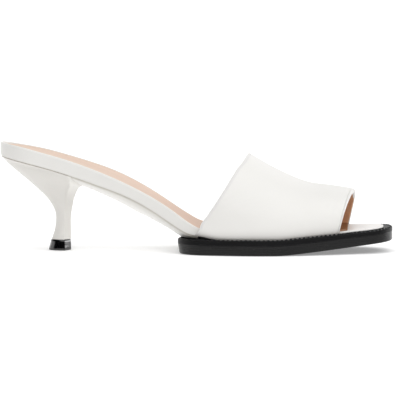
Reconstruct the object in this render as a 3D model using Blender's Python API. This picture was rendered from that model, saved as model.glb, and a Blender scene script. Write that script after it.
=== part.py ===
"""Heeled mule sandal for the right foot, as its maker puts it together.

Sizes are in millimetres here and are scaled to metres when a mesh is made.
+X points to the toe, -Y is the outer side of the foot, +Z is up, and the
forefoot tread and the heel tip both stand on Z = 0.
"""
from typing import NamedTuple

import bpy
import numpy as np

MM = 0.001
GAP = 0.3            # between two pieces that touch

# Driving sizes
LENGTH = 246.0       # heel back to toe, over the sole
BALL_WIDTH = 85.8    # outsole across the ball
TIP_HEIGHT = 6.0     # top piece under the heel stem
OUTSOLE = 6.4        # thickness at the ball
WELT = 2.6
TOE_THINNING = 0.6   # what outsole and welt each lose towards the toe
LEDGE = 4.0          # how far the welt stands out past the footbed
TOE_LEDGE = 5.6      # and how far at the toe
UPPER_WALL = 1.8
TURN_IN = 0.30       # vamp: angle below its widest level, down to the feather edge
WIDEST = 6.0         # height of that level above the welt
BULGE = 1.3          # how far the vamp stands out there past its feather edge
LIFTED = 2.8         # how far the back of its foot lies above the welt
SOCK = 0.9
SOCK_INSET = 1.3     # bare rim of the footbed round the sock
SOCK_FRONT = 96.6
LIP = 1.6            # footbed above the welt at the ball

TOE = LENGTH / 2
BACK = -LENGTH / 2
SOLE_BACK = -8.8     # where the outsole starts under the arch
FLAT_END = 50.0      # forward of this the tread lifts
SPRING = 0.1135      # slope that the toe spring reaches
SPRING_SOFT = 8.0
BREAST = -70.3       # front of the heel on its centre line
BREAST_SWEEP = 8.5   # how far the breast line runs back at the sides
SEAT_RADIUS = 19.0   # corners of the heel seat
SEAT_BOW = 0.4       # how far the back of the seat bows out between them
SEAT_INSET = 0.4     # how far heel and waist cover lie inside the footbed
HEEL_CENTRE = 4.0    # Y of the stem's middle
TOE_RADIUS = 9.0
TOE_BOW = 0.6
WAIST_FRONT = 1.0    # where the waist cover runs out on the welt
WAIST_EDGE = 0.7     # its thickness along the sides
HEEL_TURN = np.radians(-5.0)

HALF_BALL = BALL_WIDTH / 2 - LEDGE


class Outline(NamedTuple):
    """Plan of the footbed: each side's Y, as a share of half the ball's width."""

    x: float
    lateral: float
    medial: float


OUTLINE = (
    Outline(-124.0, -0.514, 0.771),
    Outline(-110.0, -0.535, 0.763),
    Outline(-95.0, -0.542, 0.738),
    Outline(-78.0, -0.550, 0.694),
    Outline(-60.0, -0.568, 0.653),
    Outline(-42.0, -0.609, 0.632),
    Outline(-25.0, -0.663, 0.653),
    Outline(-8.0, -0.756, 0.735),
    Outline(10.0, -0.884, 0.869),
    Outline(27.0, -0.977, 0.967),
    Outline(44.0, -1.000, 1.000),
    Outline(60.0, -0.941, 0.956),
    Outline(76.0, -0.843, 0.846),
    Outline(92.0, -0.712, 0.686),
    Outline(106.0, -0.581, 0.512),
    Outline(119.0, -0.452, 0.339),
)


class Profile(NamedTuple):
    """Side view of the footbed: top of the rim, and lower edge of its wall."""

    x: float
    rim: float
    under: float


PROFILE = (
    Profile(-124.0, 68.5, 60.2),
    Profile(-111.0, 66.0, 57.25),
    Profile(-98.5, 63.1, 54.0),
    Profile(-86.0, 59.7, 50.4),
    Profile(-73.5, 55.6, 46.3),
    Profile(-61.0, 50.9, 41.9),
    Profile(-48.5, 45.6, 37.3),
    Profile(-36.0, 39.6, 31.5),
    Profile(-23.5, 32.7, 24.0),
    Profile(-11.0, 24.65, 15.8),
    Profile(-4.0, 20.15, 12.4),
    Profile(2.0, 16.6, 11.3),
    Profile(8.0, 14.2, 10.7),
    Profile(16.0, 12.0, 9.95),
    Profile(26.0, 11.0, 9.6),
    Profile(36.0, 10.9, 9.6),
)


class Instep(NamedTuple):
    """The last over the vamp: height of its ridge and how square it is."""

    x: float
    ridge: float
    fullness: float
    skew: float


INSTEP = (
    Instep(-6.0, 79.0, 2.0, 6.0),
    Instep(12.0, 72.2, 2.0, 5.5),
    Instep(32.0, 61.7, 2.05, 5.0),
    Instep(46.0, 53.5, 2.1, 4.5),
    Instep(58.0, 47.6, 2.2, 4.0),
    Instep(70.0, 43.1, 2.35, 3.0),
    Instep(84.0, 40.9, 2.45, 2.5),
    Instep(104.0, 37.8, 2.5, 2.0),
)


class Heel(NamedTuple):
    """One ring of the heel, from the stem's foot to the seat."""

    back: float
    back_z: float
    breast: float
    breast_z: float
    corner: float
    half_width: float
    squareness: float


HEEL = (
    Heel(-91.0, 6.3, -79.15, 6.3, -83.0, 6.9, 2.0),
    Heel(-89.4, 11.5, -79.15, 11.5, -82.8, 6.6, 2.0),
    Heel(-88.5, 17.5, -79.15, 17.0, -82.6, 6.5, 2.0),
    Heel(-88.45, 22.0, -78.95, 22.0, -82.4, 6.8, 2.0),
    Heel(-89.6, 26.4, -78.3, 26.6, -82.2, 7.7, 2.0),
    Heel(-91.05, 29.0, -77.95, 28.7, -82.0, 8.5, 2.0),
    Heel(-93.2, 32.0, -77.45, 31.0, -81.8, 9.7, 2.0),
    Heel(-96.7, 35.8, -76.7, 33.6, -81.4, 11.8, 2.2),
    Heel(-102.25, 41.0, -75.6, 36.4, -81.0, 14.9, 2.4),
    Heel(-108.2, 46.2, -74.6, 38.4, -80.5, 18.1, 2.65),
    Heel(-113.7, 50.9, -73.3, 39.7, -79.9, 20.9, 2.95),
    Heel(-118.6, 55.5, -71.9, 40.6, -79.3, 22.9, 3.3),
)

BLACK = (0.028, 0.027, 0.028, 1.0)
WHITE = (0.86, 0.85, 0.82, 1.0)


def smooth(rows, column):
    """Return the cubic spline through one column of a table, over its x."""
    x = np.array([row.x for row in rows])
    y = np.array([getattr(row, column) for row in rows])
    step = np.diff(x)
    slope = np.diff(y) / step
    system = np.diag(np.full(len(x), 1.0))
    right = np.zeros(len(x))
    right[0], right[-1] = slope[0], slope[-1]
    for i in range(1, len(x) - 1):
        system[i, i - 1:i + 2] = step[i], 2 * (step[i - 1] + step[i]), step[i - 1]
        right[i] = 3 * (step[i] * slope[i - 1] + step[i - 1] * slope[i])
    lean = np.linalg.solve(system, right)

    def at(where):
        where = np.asarray(where, dtype=float)
        i = np.clip(np.searchsorted(x, where) - 1, 0, len(step) - 1)
        t = (where - x[i]) / step[i]
        held = y[i] * (1 + 2 * t) * (1 - t) ** 2 + y[i + 1] * t * t * (3 - 2 * t)
        return held + step[i] * (lean[i] * t * (1 - t) ** 2 + lean[i + 1] * t * t * (t - 1))

    return at


def ease(value, low, high):
    """Rise smoothly from 0 at low to 1 at high."""
    t = np.clip((np.asarray(value, dtype=float) - low) / (high - low), 0, 1)
    return t * t * (3 - 2 * t)


lateral_share = smooth(OUTLINE, "lateral")
medial_share = smooth(OUTLINE, "medial")
rim_table = smooth(PROFILE, "rim")
under_table = smooth(PROFILE, "under")
ridge = smooth(INSTEP, "ridge")
fullness = smooth(INSTEP, "fullness")
ridge_skew = smooth(INSTEP, "skew")


def side_lateral(x):
    """Outer side of the footbed."""
    return HALF_BALL * lateral_share(x)


def side_medial(x):
    """Inner side of the footbed."""
    return HALF_BALL * medial_share(x)


def tread(x):
    """Underside of the outsole: flat on the floor, then the toe spring."""
    past = np.maximum(np.asarray(x, dtype=float) - FLAT_END, 0)
    return SPRING * past * past / (past + SPRING_SOFT)


def thinning(x):
    """What outsole and welt each lose in thickness at x."""
    return TOE_THINNING * ease(x, 60, 118)


def outsole_top(x):
    """Upper face of the outsole."""
    return tread(x) + OUTSOLE - thinning(x)


def welt_top(x):
    """Upper face of the welt."""
    return outsole_top(x) + GAP + WELT - thinning(x)


def share(x, y):
    """0 at the lateral edge of the footbed, 1 at the medial edge."""
    return np.clip((y - side_lateral(x)) / (side_medial(x) - side_lateral(x)), 0, 1)


def arch_lift(x, y):
    """The medial edge is carried higher at the waist, as on the last."""
    return 1.95 * np.exp(-((x + 47.5) / 26.5) ** 2) * share(x, y)


def ball_dip(x, y):
    """Where the arch runs out into the ball the lateral rim lies a little lower."""
    return 0.8 * np.exp(-((x + 5.0) / 7.0) ** 2) * (1 - share(x, y))


def heel_tilt(x, y):
    """Round the heel the lateral rim stands a little higher than the medial one."""
    return 1.3 * (1 - ease(x, -112, -92)) * (0.5 - share(x, y))


def rim(x, y):
    """Top of the footbed's rim."""
    forward = welt_top(x) + LIP - 0.6 * ease(x, 90, 118)
    height = np.where(x < 36.0, rim_table(np.minimum(x, 36.0)), forward)
    return height + arch_lift(x, y) - ball_dip(x, y) + heel_tilt(x, y)


def under(x, y):
    """Underside of the footbed."""
    forward = welt_top(x) + GAP
    return np.where(x < 36.0, under_table(np.minimum(x, 36.0)), forward) + arch_lift(x, y)


def seat(x, y):
    """Face of the footbed that the sock lies on.

    It is dished across and set below the rim from the heel to the arch, and
    comes up level with the rim where the sole takes over at the ball.
    """
    dish = (0.5 + 0.9 * (1 - ease(x, -95, -55))) * (1 - (2 * share(x, y) - 1) ** 2)
    return rim(x, y) - (SOCK + GAP + dish) * (1 - ease(x, -10, 18))


def corner_cut(distance, radius):
    """How far a round corner pulls a side in at a distance from the end."""
    inside = np.clip(radius - distance, 0, radius)
    return radius - np.sqrt(radius ** 2 - inside ** 2)


class Plan:
    """Closed outline between two ends, with as many points on either side.

    The loop runs up the lateral side, across the front, down the medial side
    and across the back, so a row of points joins each lateral point to the
    medial point of the same station.
    """

    def __init__(self, back, front, back_radius, front_radius, along, across,
                 back_bow=0.0, front_bow=0.0, front_skew=0.0, back_skew=0.0):
        self.along, self.across = along, across
        turn = np.linspace(0, np.pi / 2, 6)
        back_part = back + back_radius * (1 - np.cos(turn))
        front_part = front - front_radius * (1 - np.cos(turn[::-1]))
        middle = np.linspace(back_part[-1], front_part[0], along - 10)[1:-1]
        self.x = np.concatenate((back_part, middle, front_part))
        cut = corner_cut(self.x - back, back_radius) + corner_cut(front - self.x, front_radius)
        share_across = np.linspace(0, 1, across)
        low, high = side_lateral(self.x) + cut, side_medial(self.x) - cut
        y = low[:, None] + (high - low)[:, None] * share_across
        x = np.repeat(self.x[:, None], across, axis=1)
        bulge = 1 - (2 * share_across - 1) ** 2
        at_front = ease(self.x, front - 30, front)[:, None]
        at_back = 1 - ease(self.x, back, back + 30)[:, None]
        x += bulge * (front_bow * at_front - back_bow * at_back)
        x += (front_skew * at_front + back_skew * at_back) * (share_across - 0.5)
        self.grid = np.stack((x, y), axis=2)

    def loop(self, outset=0.0):
        """Outline moved outwards by a distance, which may vary by point."""
        g = self.grid
        points = np.concatenate((g[:, 0], g[-1, 1:-1], g[::-1, -1], g[0, -2:0:-1]))
        ahead = np.roll(points, -1, axis=0) - np.roll(points, 1, axis=0)
        normal = np.stack((ahead[:, 1], -ahead[:, 0]), axis=1)
        normal /= np.linalg.norm(normal, axis=1)[:, None]
        distance = outset(points[:, 0]) if callable(outset) else outset
        return points + normal * np.reshape(distance, (-1, 1))


def spread(loop, along, across):
    """Grid whose edge is the loop and whose rows cross it side to side."""
    grid = np.zeros((along, across, 2))
    lateral, front = loop[:along], loop[along:along + across - 2]
    medial = loop[along + across - 2:2 * along + across - 2][::-1]
    back = loop[2 * along + across - 2:][::-1]
    t = np.linspace(0, 1, across)[None, :, None]
    grid[:] = lateral[:, None] * (1 - t) + medial[:, None] * t
    grid[-1, 1:-1], grid[0, 1:-1] = front, back
    return grid


def edge_index(along, across):
    """Index in a flat grid of each point of its edge, in loop order."""
    index = np.arange(along * across).reshape(along, across)
    return np.concatenate((index[:, 0], index[-1, 1:-1], index[::-1, -1], index[0, -2:0:-1]))


def quads_of_grid(along, across, flip):
    """Four-sided faces of a grid, seen from above unless flipped."""
    i = np.arange(along * across).reshape(along, across)
    quads = np.stack((i[:-1, :-1], i[1:, :-1], i[1:, 1:], i[:-1, 1:]), axis=2).reshape(-1, 4)
    return quads[:, ::-1] if flip else quads


def material(name, colour, roughness):
    """Plain Principled finish."""
    made = bpy.data.materials.new(name)
    made.use_nodes = True
    shader = made.node_tree.nodes["Principled BSDF"]
    shader.inputs["Base Color"].default_value = colour
    shader.inputs["Roughness"].default_value = roughness
    shader.inputs["Metallic"].default_value = 0.0
    return made


def add_piece(name, vertices, faces, finish):
    """Put one closed mesh into the scene, in metres, shaded smooth."""
    mesh = bpy.data.meshes.new(name)
    mesh.from_pydata((vertices * MM).tolist(), [], faces)
    mesh.materials.append(finish)
    mesh.shade_smooth()
    mesh.set_sharp_from_angle(angle=np.radians(40))
    piece = bpy.data.objects.new(name, mesh)
    bpy.context.scene.collection.objects.link(piece)
    return piece


def stacked(name, rings, along, across, top_z, bottom_z, finish):
    """Solid from rings that run from its top edge to its bottom edge.

    The first ring bounds the top face and the last one the bottom face; both
    faces are grids whose heights come from top_z(x, y) and bottom_z(x, y).
    """
    top = spread(rings[0][:, :2], along, across).reshape(-1, 2)
    bottom = spread(rings[-1][:, :2], along, across).reshape(-1, 2)
    top = np.column_stack((top, top_z(top[:, 0], top[:, 1])))
    bottom = np.column_stack((bottom, bottom_z(bottom[:, 0], bottom[:, 1])))
    edge = edge_index(along, across)
    top[edge], bottom[edge] = rings[0], rings[-1]
    middle = rings[1:-1]
    vertices = np.concatenate((top, *middle, bottom))
    count = len(edge)
    rows = [edge]
    rows += [len(top) + k * count + np.arange(count) for k in range(len(middle))]
    rows.append(len(top) + len(middle) * count + edge)
    faces = quads_of_grid(along, across, False).tolist()
    faces += (quads_of_grid(along, across, True) + len(vertices) - len(bottom)).tolist()
    for upper_row, lower_row in zip(rows, rows[1:]):
        ring = np.stack((upper_row, lower_row, np.roll(lower_row, -1), np.roll(upper_row, -1)), 1)
        faces += ring.tolist()
    return add_piece(name, vertices, faces, finish)


def ring_at(plan_loop, height):
    """Give a plan loop its heights."""
    return np.column_stack((plan_loop, height))


def slab(name, plan, outset, top_z, bottom_z, rounding, finish):
    """Even layer of the sole: two faces, a wall and a rounded edge on each."""
    full = plan.loop(outset)
    trimmed = plan.loop((lambda x: outset(x) - rounding) if callable(outset) else outset - rounding)
    x, y = full.T
    rings = (
        ring_at(trimmed, top_z(*trimmed.T)),
        ring_at(full, top_z(x, y) - rounding),
        ring_at(full, bottom_z(x, y) + rounding),
        ring_at(trimmed, bottom_z(*trimmed.T)),
    )
    return stacked(name, rings, plan.along, plan.across, top_z, bottom_z, finish)


def ledge(x):
    """How far welt and outsole stand out past the footbed."""
    return LEDGE + (TOE_LEDGE - LEDGE) * ease(x, 100, 118)


def sole_plan():
    """Plan of the forefoot, inside the ledge that outsole and welt add."""
    return Plan(SOLE_BACK + LEDGE, TOE - TOE_LEDGE - TOE_BOW, 10.0, TOE_RADIUS, 44, 3,
                front_bow=TOE_BOW, back_skew=6.0)


def make_outsole(finish):
    """Black tread of the forefoot."""
    plan = sole_plan()
    return slab("outsole", plan, ledge, lambda x, y: outsole_top(x), lambda x, y: tread(x),
                0.5, finish)


def make_welt(finish):
    """Stitched strip between the outsole and the upper."""
    plan = sole_plan()
    return slab("welt", plan, ledge, lambda x, y: welt_top(x),
                lambda x, y: outsole_top(x) + GAP, 0.4, finish)


def make_footbed(finish):
    """Wrapped insole board with a rim and a step that the sock lies in."""
    plan = Plan(BACK + SEAT_BOW, TOE - TOE_LEDGE - TOE_BOW, SEAT_RADIUS, TOE_RADIUS, 52, 7,
                back_bow=SEAT_BOW, front_bow=TOE_BOW)
    outer, soft = plan.loop(), plan.loop(-0.6)
    rim_inner, step = plan.loop(-SOCK_INSET + 0.2), plan.loop(-SOCK_INSET)

    rings = (
        ring_at(step, seat(*step.T)),
        ring_at(rim_inner, rim(*rim_inner.T)),
        ring_at(soft, rim(*soft.T)),
        ring_at(outer, rim(*outer.T) - 0.6),
        ring_at(outer, under(*outer.T) + 0.3),
        ring_at(soft, under(*soft.T)),
    )
    return stacked("footbed", rings, plan.along, plan.across, seat, under, finish)


def make_sock(finish):
    """Leather sock on the footbed, from the heel to the front of the vamp."""
    plan = Plan(BACK + SEAT_BOW, SOCK_FRONT, SEAT_RADIUS, 1.5, 50, 7, back_bow=SEAT_BOW,
                front_skew=2.4)
    edge = plan.loop(-SOCK_INSET - GAP)

    def under_face(x, y):
        return seat(x, y) + GAP

    rings = (
        ring_at(edge, under_face(*edge.T) + SOCK),
        ring_at(edge, under_face(*edge.T)),
    )
    return stacked("insole_sock", rings, plan.along, plan.across,
                   lambda x, y: under_face(x, y) + SOCK, under_face, finish)


def waist_depth(x):
    """How far the waist cover bulges below the footbed on its centre line."""
    return (4.6 + 1.6 * ease(x, -70, -50) - 1.1 * ease(x, -28, -14)
            + 1.4 * np.exp(-((x + 38.0) / 9.5) ** 2))


def breast_back(across):
    """How far the breast line lies behind its middle, across the heel."""
    return BREAST_SWEEP * across ** 2


def make_waist(finish):
    """Convex cover under the arch, from the heel breast onto the welt."""
    along, across = 26, 9
    side = np.linspace(-1, 1, across)
    run = np.linspace(0, 1, along)[:, None]
    start = BREAST + 1.4 * GAP - breast_back(side)[None, :]
    x = start + (WAIST_FRONT - start) * run
    low, high = side_lateral(x) + SEAT_INSET, side_medial(x) - SEAT_INSET
    y = low + (high - low) * (side[None, :] + 1) / 2
    top = under(x, y) - GAP
    bottom = top - WAIST_EDGE - waist_depth(x) * (1 - np.abs(side[None, :]) ** 2.2)
    over_welt = (welt_top(x) + 1.3 * GAP) * ease(x, SOLE_BACK - 9.0, SOLE_BACK - 3.2)
    bottom = np.minimum(np.maximum(bottom, over_welt), top - GAP - 0.1)
    index = edge_index(along, across)
    grid_top = np.stack((x, y, top), 2).reshape(-1, 3)
    grid_bottom = np.stack((x, y, bottom), 2).reshape(-1, 3)
    vertices = np.concatenate((grid_top, grid_bottom))
    faces = quads_of_grid(along, across, False).tolist()
    faces += (quads_of_grid(along, across, True) + len(grid_top)).tolist()
    lower = index + len(grid_top)
    faces += np.stack((index, lower, np.roll(lower, -1), np.roll(index, -1)), 1).tolist()
    return add_piece("waist_cover", vertices, faces, finish)


def heel_loop(row, turn, along, across):
    """Plan of one heel ring: a round back, two corners and a ridged breast."""
    angle = np.linspace(0, np.pi / 2, along + (across - 1) // 2)
    power = 2 / row.squareness
    depth = (row.corner - row.back) * np.cos(angle) ** power
    reach = row.half_width * np.sin(angle) ** power
    half = np.column_stack((row.corner - depth, -reach))
    other = half * (1, -1)
    skip = (across - 1) // 2
    side = np.linspace(-1, 1, across)[1:-1]
    front = np.column_stack((
        row.breast - (row.breast - row.corner) * np.abs(side) ** (0.65 + 0.06 * row.half_width),
        side * row.half_width,
    ))
    back = np.concatenate((other[1:skip][::-1], half[:1], half[1:skip]))
    loop = np.concatenate((half[skip:], front, other[skip:][::-1], back))
    spin = np.array(((np.cos(turn), np.sin(turn)), (-np.sin(turn), np.cos(turn))))
    pivot = np.array((row.corner, 0.0))
    return (loop - pivot) @ spin + pivot + (0, HEEL_CENTRE)


def sloped(loop, row):
    """Heights of a heel ring, from its back to its breast."""
    t = np.clip((loop[:, 0] - row.back) / (row.breast - row.back), 0, 1)
    return row.back_z + (row.breast_z - row.back_z) * t ** 2


def make_heel(finish):
    """Curved stem that flares up to the seat of the footbed."""
    along, across = 13, 9
    rings = []
    for row in HEEL:
        fade = (row.half_width - 6.5) / (25.0 - 6.5)
        loop = heel_loop(row, HEEL_TURN * (1 - fade), along, across)
        rings.append(ring_at(loop, sloped(loop, row)))
    full = seat_loop(along, across)
    rings.append(ring_at(full, under(*full.T) - GAP - 0.4))
    trimmed = seat_loop(along, across, 0.4)
    rings.append(ring_at(trimmed, under(*trimmed.T) - GAP))
    return stacked("heel", rings[::-1], along, across, lambda x, y: under(x, y) - GAP,
                   lambda x, y: np.full_like(x, HEEL[0].back_z), finish)


def seat_loop(along, across, trim=0.0):
    """Top edge of the heel: the footbed's own outline, closed by the breast."""
    inset = SEAT_INSET + trim
    corner = BREAST - BREAST_SWEEP
    back = BACK + SEAT_BOW
    skip = (across - 1) // 2
    x = corner - (corner - back - inset) * np.cos(np.linspace(0, np.pi / 2, along)) ** 0.9
    cut = corner_cut(x - back - inset, SEAT_RADIUS) + inset
    lateral = np.column_stack((x, side_lateral(x) + cut))
    medial = np.column_stack((x, side_medial(x) - cut))
    side = np.linspace(-1, 1, across)[1:-1]
    front_x = BREAST - trim - breast_back(side)
    t = ((side + 1) / 2)[:, None]
    front = lateral[-1] * (1 - t) + medial[-1] * t
    front[:, 0] = front_x
    rear = medial[0] * (1 - t) + lateral[0] * t
    rear[:, 0] -= SEAT_BOW * (1 - side ** 2)
    return np.concatenate((lateral, front, medial[::-1], rear))


def make_tip(finish):
    """Black top piece that the heel walks on, a little flared."""
    along, across = 13, 9
    foot = HEEL[0]
    rows = (
        foot._replace(back=foot.back - 0.4, back_z=TIP_HEIGHT, breast_z=TIP_HEIGHT),
        Heel(-92.1, 3.6, -79.4, 3.6, -83.0, 7.2, 2.0),
        Heel(-93.2, 0.4, -79.2, 0.4, -82.9, 7.6, 2.0),
        Heel(-92.9, 0.0, -79.5, 0.0, -82.9, 7.3, 2.0),
    )
    rings = []
    for row in rows:
        loop = heel_loop(row, HEEL_TURN, along, across)
        rings.append(ring_at(loop, np.full(len(loop), row.back_z)))
    return stacked("heel_tip", rings, along, across, lambda x, y: np.full_like(x, TIP_HEIGHT),
                   lambda x, y: np.zeros_like(x), finish)



def last_surface(x, angle):
    """Point of the vamp's outer face at x, at an angle round the foot.

    The angle is 0 at the widest level of the lateral side and pi at the
    medial one; below those levels the leather turns in to the feather edge.
    """
    foot = welt_top(x) + GAP + LIFTED * (1 - ease(x, -1, 26))
    slope = 1 + ((side_lateral(x + 1) - side_lateral(x - 1)) / 2) ** 2
    stand = (UPPER_WALL + GAP + BULGE) * np.sqrt(slope)
    low, high = side_lateral(x) - stand, side_medial(x) + stand
    centre, reach = (low + high) / 2, (high - low) / 2
    level = welt_top(x) + GAP + WIDEST
    power = 2 / fullness(x)
    c, s = np.cos(angle), np.sin(angle)
    up = np.maximum(s, 0) ** power
    tuck = np.clip(-s / np.sin(TURN_IN), 0, 1)
    pull = BULGE * (1 - np.sqrt(1 - tuck ** 2 * 0.98))
    across = np.sign(c) * np.abs(c) ** power
    across = np.where(s < 0, np.sign(c) * (1 - pull / reach), across)
    y = centre - across * reach + ridge_skew(x) * up ** 2
    z = np.where(s < 0, level + (foot - level) * tuck, level + (ridge(x) - level) * up)
    return np.stack((np.broadcast_to(x, y.shape), y, z), axis=-1)


def topline(y, z):
    """Where the vamp's back edge lies, leaning forward as it rises."""
    rise = z - 14.4
    bend = 0.3 - 1.15 * ease(rise, 2, 9) + 1.15 * ease(rise, 38, 44)
    return bend - 0.9 * np.exp(-((rise - 4.8) / 2.6) ** 2) + 0.72 * rise - 0.0019 * rise ** 2 + 0.07 * (y + 37.5)


def toe_edge(y, z):
    """Where the vamp's front edge lies."""
    return 89.35 + 0.235 * (z - 14.6) + 0.137 * (y + 31.0)


def settle(edge, angle, start):
    """X at which each line of the last's surface meets an edge."""
    x = np.full_like(angle, start)
    for _ in range(60):
        point = last_surface(x, angle)
        x = 0.5 * x + 0.5 * edge(point[..., 1], point[..., 2])
    return x


def make_upper(finish):
    """Vamp: one curved band of leather with a wall of even thickness."""
    along, around = 17, 35
    angle = np.linspace(-TURN_IN, np.pi + TURN_IN, around)
    back = settle(topline, angle, 20.0)
    front = settle(toe_edge, angle, 95.0)
    run = np.linspace(0, 1, along)[:, None]
    x = back[None, :] + (front - back)[None, :] * run
    outer = last_surface(x, np.broadcast_to(angle, x.shape))
    lengthwise, roundwise = np.gradient(outer, axis=0), np.gradient(outer, axis=1)
    normal = np.cross(lengthwise, roundwise)
    normal /= np.linalg.norm(normal, axis=2)[..., None]
    if normal[along // 2, around // 2, 2] < 0:
        normal = -normal
    inner = outer - normal * UPPER_WALL
    for j in (0, -1):
        inner[:, j, 2] = outer[:, j, 2]
    count = along * around
    vertices = np.concatenate((outer.reshape(-1, 3), inner.reshape(-1, 3)))
    faces = quads_of_grid(along, around, False).tolist()
    faces += (quads_of_grid(along, around, True) + count).tolist()
    edge = edge_index(along, around)
    inside = edge + count
    faces += np.stack((edge, inside, np.roll(inside, -1), np.roll(edge, -1)), 1).tolist()
    return add_piece("upper", vertices, faces, finish)


def main():
    """Clear the scene and build each piece."""
    for old in list(bpy.data.objects):
        bpy.data.objects.remove(old, do_unlink=True)
    sole_black = material("sole_black", BLACK, 0.35)
    white_leather = material("white_leather", WHITE, 0.45)
    sock_leather = material("sock_leather", (0.78, 0.58, 0.44, 1.0), 0.6)
    heel_white = material("heel_white", WHITE, 0.4)
    tip_black = material("tip_black", BLACK, 0.3)
    make_outsole(sole_black)
    make_welt(sole_black)
    make_footbed(white_leather)
    make_sock(sock_leather)
    make_waist(white_leather)
    make_upper(white_leather)
    make_heel(heel_white)
    make_tip(tip_black)


main()
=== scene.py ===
"""Finished surfaces of a heeled mule sandal for the right foot, its camera and its studio.

Sizes are in millimetres and are scaled to metres when a mesh is made. +X points to
the toe, -Y is the outer (lateral) side of the foot and +Z is up. The forefoot tread
and the heel's top piece both stand on Z = 0.
"""
from __future__ import annotations

import logging
import math
from dataclasses import dataclass, replace
from enum import Enum
from functools import cached_property
from typing import Callable, ClassVar, Mapping, NamedTuple, Optional, Sequence, Union

import bpy
import numpy as np
from mathutils import Euler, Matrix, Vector


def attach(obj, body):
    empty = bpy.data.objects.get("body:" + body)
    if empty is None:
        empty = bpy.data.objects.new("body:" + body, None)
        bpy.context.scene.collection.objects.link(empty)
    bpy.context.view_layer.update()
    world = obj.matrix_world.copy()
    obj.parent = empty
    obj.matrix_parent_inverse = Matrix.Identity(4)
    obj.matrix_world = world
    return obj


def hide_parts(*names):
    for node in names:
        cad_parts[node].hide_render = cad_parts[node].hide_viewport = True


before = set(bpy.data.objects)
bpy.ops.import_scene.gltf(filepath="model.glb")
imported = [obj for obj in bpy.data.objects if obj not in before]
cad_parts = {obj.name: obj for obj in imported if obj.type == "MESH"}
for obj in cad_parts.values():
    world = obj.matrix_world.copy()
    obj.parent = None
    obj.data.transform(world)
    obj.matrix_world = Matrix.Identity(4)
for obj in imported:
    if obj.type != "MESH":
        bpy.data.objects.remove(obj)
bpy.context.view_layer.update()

MM = 0.001
ROOT = "root"

Array = np.ndarray
Height = Callable[[Array, Array], Array]
Distance = Union[float, Array]
Colour = tuple[float, float, float, float]

log = logging.getLogger("sandal")


# ---- curves


class Spline:
    """Cubic spline with free ends through rows of numbers, flat arrays or points."""

    def __init__(self, x: Sequence[float], y: Sequence[float]) -> None:
        """Solve for the slope at every knot.

        Args:
            x: rising positions of the knots.
            y: value at each knot, of any shape after its first axis.
        """
        self.x = np.asarray(x, dtype=float)
        self.y = np.asarray(y, dtype=float)
        trailing = (1,) * (self.y.ndim - 1)
        self.step = np.diff(self.x)
        slope = np.diff(self.y, axis=0) / self.step.reshape(-1, *trailing)
        count = len(self.x)
        before, after = self.step[:-1], self.step[1:]
        inner = np.arange(1, count - 1)
        system = np.eye(count)
        system[inner, inner - 1] = after
        system[inner, inner] = 2 * (before + after)
        system[inner, inner + 1] = before
        wanted = np.zeros_like(self.y)
        wanted[0], wanted[-1] = slope[0], slope[-1]
        wanted[1:-1] = 3 * (after.reshape(-1, *trailing) * slope[:-1]
                            + before.reshape(-1, *trailing) * slope[1:])
        flat = np.linalg.solve(system, wanted.reshape(count, -1))
        self.lean = flat.reshape(self.y.shape)

    def __call__(self, where: Array) -> Array:
        """Value of the spline: a cubic with the knots' values and slopes.

        Args:
            where: positions along x, of any shape.

        Returns:
            Values, with the shape of where followed by the shape of one row.
        """
        where = np.asarray(where, dtype=float)
        i = np.clip(np.searchsorted(self.x, where) - 1, 0, len(self.step) - 1)
        t = (where - self.x[i]) / self.step[i]
        h = self.step[i]
        for _ in range(self.y.ndim - 1):
            t, h = t[..., None], h[..., None]
        held = self.y[i] * (1 + 2 * t) * (1 - t) ** 2 + self.y[i + 1] * t * t * (3 - 2 * t)
        return held + h * (self.lean[i] * t * (1 - t) ** 2 + self.lean[i + 1] * t * t * (t - 1))


def ease(value: Array, low: float, high: float) -> Array:
    """Rise smoothly from 0 at low to 1 at high: three t squared less two t cubed."""
    t = np.clip((np.asarray(value, dtype=float) - low) / (high - low), 0, 1)
    return t * t * (3 - 2 * t)


def hump(value: Array, centre: float, width: float) -> Array:
    """Bell curve of height 1, with the given half width at about a third of its height."""
    return np.exp(-((np.asarray(value, dtype=float) - centre) / width) ** 2)


def unit(vectors: Array) -> Array:
    """Vectors along the last axis, each divided by its length."""
    return vectors / np.linalg.norm(vectors, axis=-1, keepdims=True)


def running(steps: Array) -> Array:
    """Distance from the first point to each point of a path with these steps."""
    return np.concatenate(([0.0], np.cumsum(steps)))


class Step(NamedTuple):
    """Smooth change from nothing at its start to its height at its end, on either side."""

    start: float
    end: float
    height: float = 1.0

    def __call__(self, value: Array) -> Array:
        """Height at each value."""
        return self.height * ease(value, self.start, self.end)


class Bell(NamedTuple):
    """Bell curve with its middle, half width and height."""

    centre: float
    width: float
    height: float = 1.0

    def __call__(self, value: Array) -> Array:
        """Height at each value."""
        return self.height * hump(value, self.centre, self.width)


Curve = Union[Step, Bell]


def splines(table: Sequence[NamedTuple]) -> dict[str, Spline]:
    """Spline along X through each other column of a table, by the column's name."""
    x = [row[0] for row in table]
    return {name: Spline(x, [getattr(row, name) for row in table])
            for name in table[0]._fields[1:]}


# ---- tables


class Outline(NamedTuple):
    """Plan of the footbed: each side's Y, as a share of half the ball's width."""

    x: float
    lateral: float
    medial: float


OUTLINE = tuple(Outline(*row) for row in (
    (-124.0, -0.514, 0.771), (-110.0, -0.535, 0.763), (-95.0, -0.542, 0.738),
    (-78.0, -0.550, 0.694), (-60.0, -0.568, 0.653), (-42.0, -0.609, 0.632),
    (-25.0, -0.663, 0.653), (-8.0, -0.756, 0.735), (10.0, -0.884, 0.869),
    (27.0, -0.977, 0.967), (44.0, -1.000, 1.000), (60.0, -0.941, 0.956),
    (76.0, -0.843, 0.846), (92.0, -0.712, 0.686), (106.0, -0.581, 0.512),
    (119.0, -0.452, 0.339),
))


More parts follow.
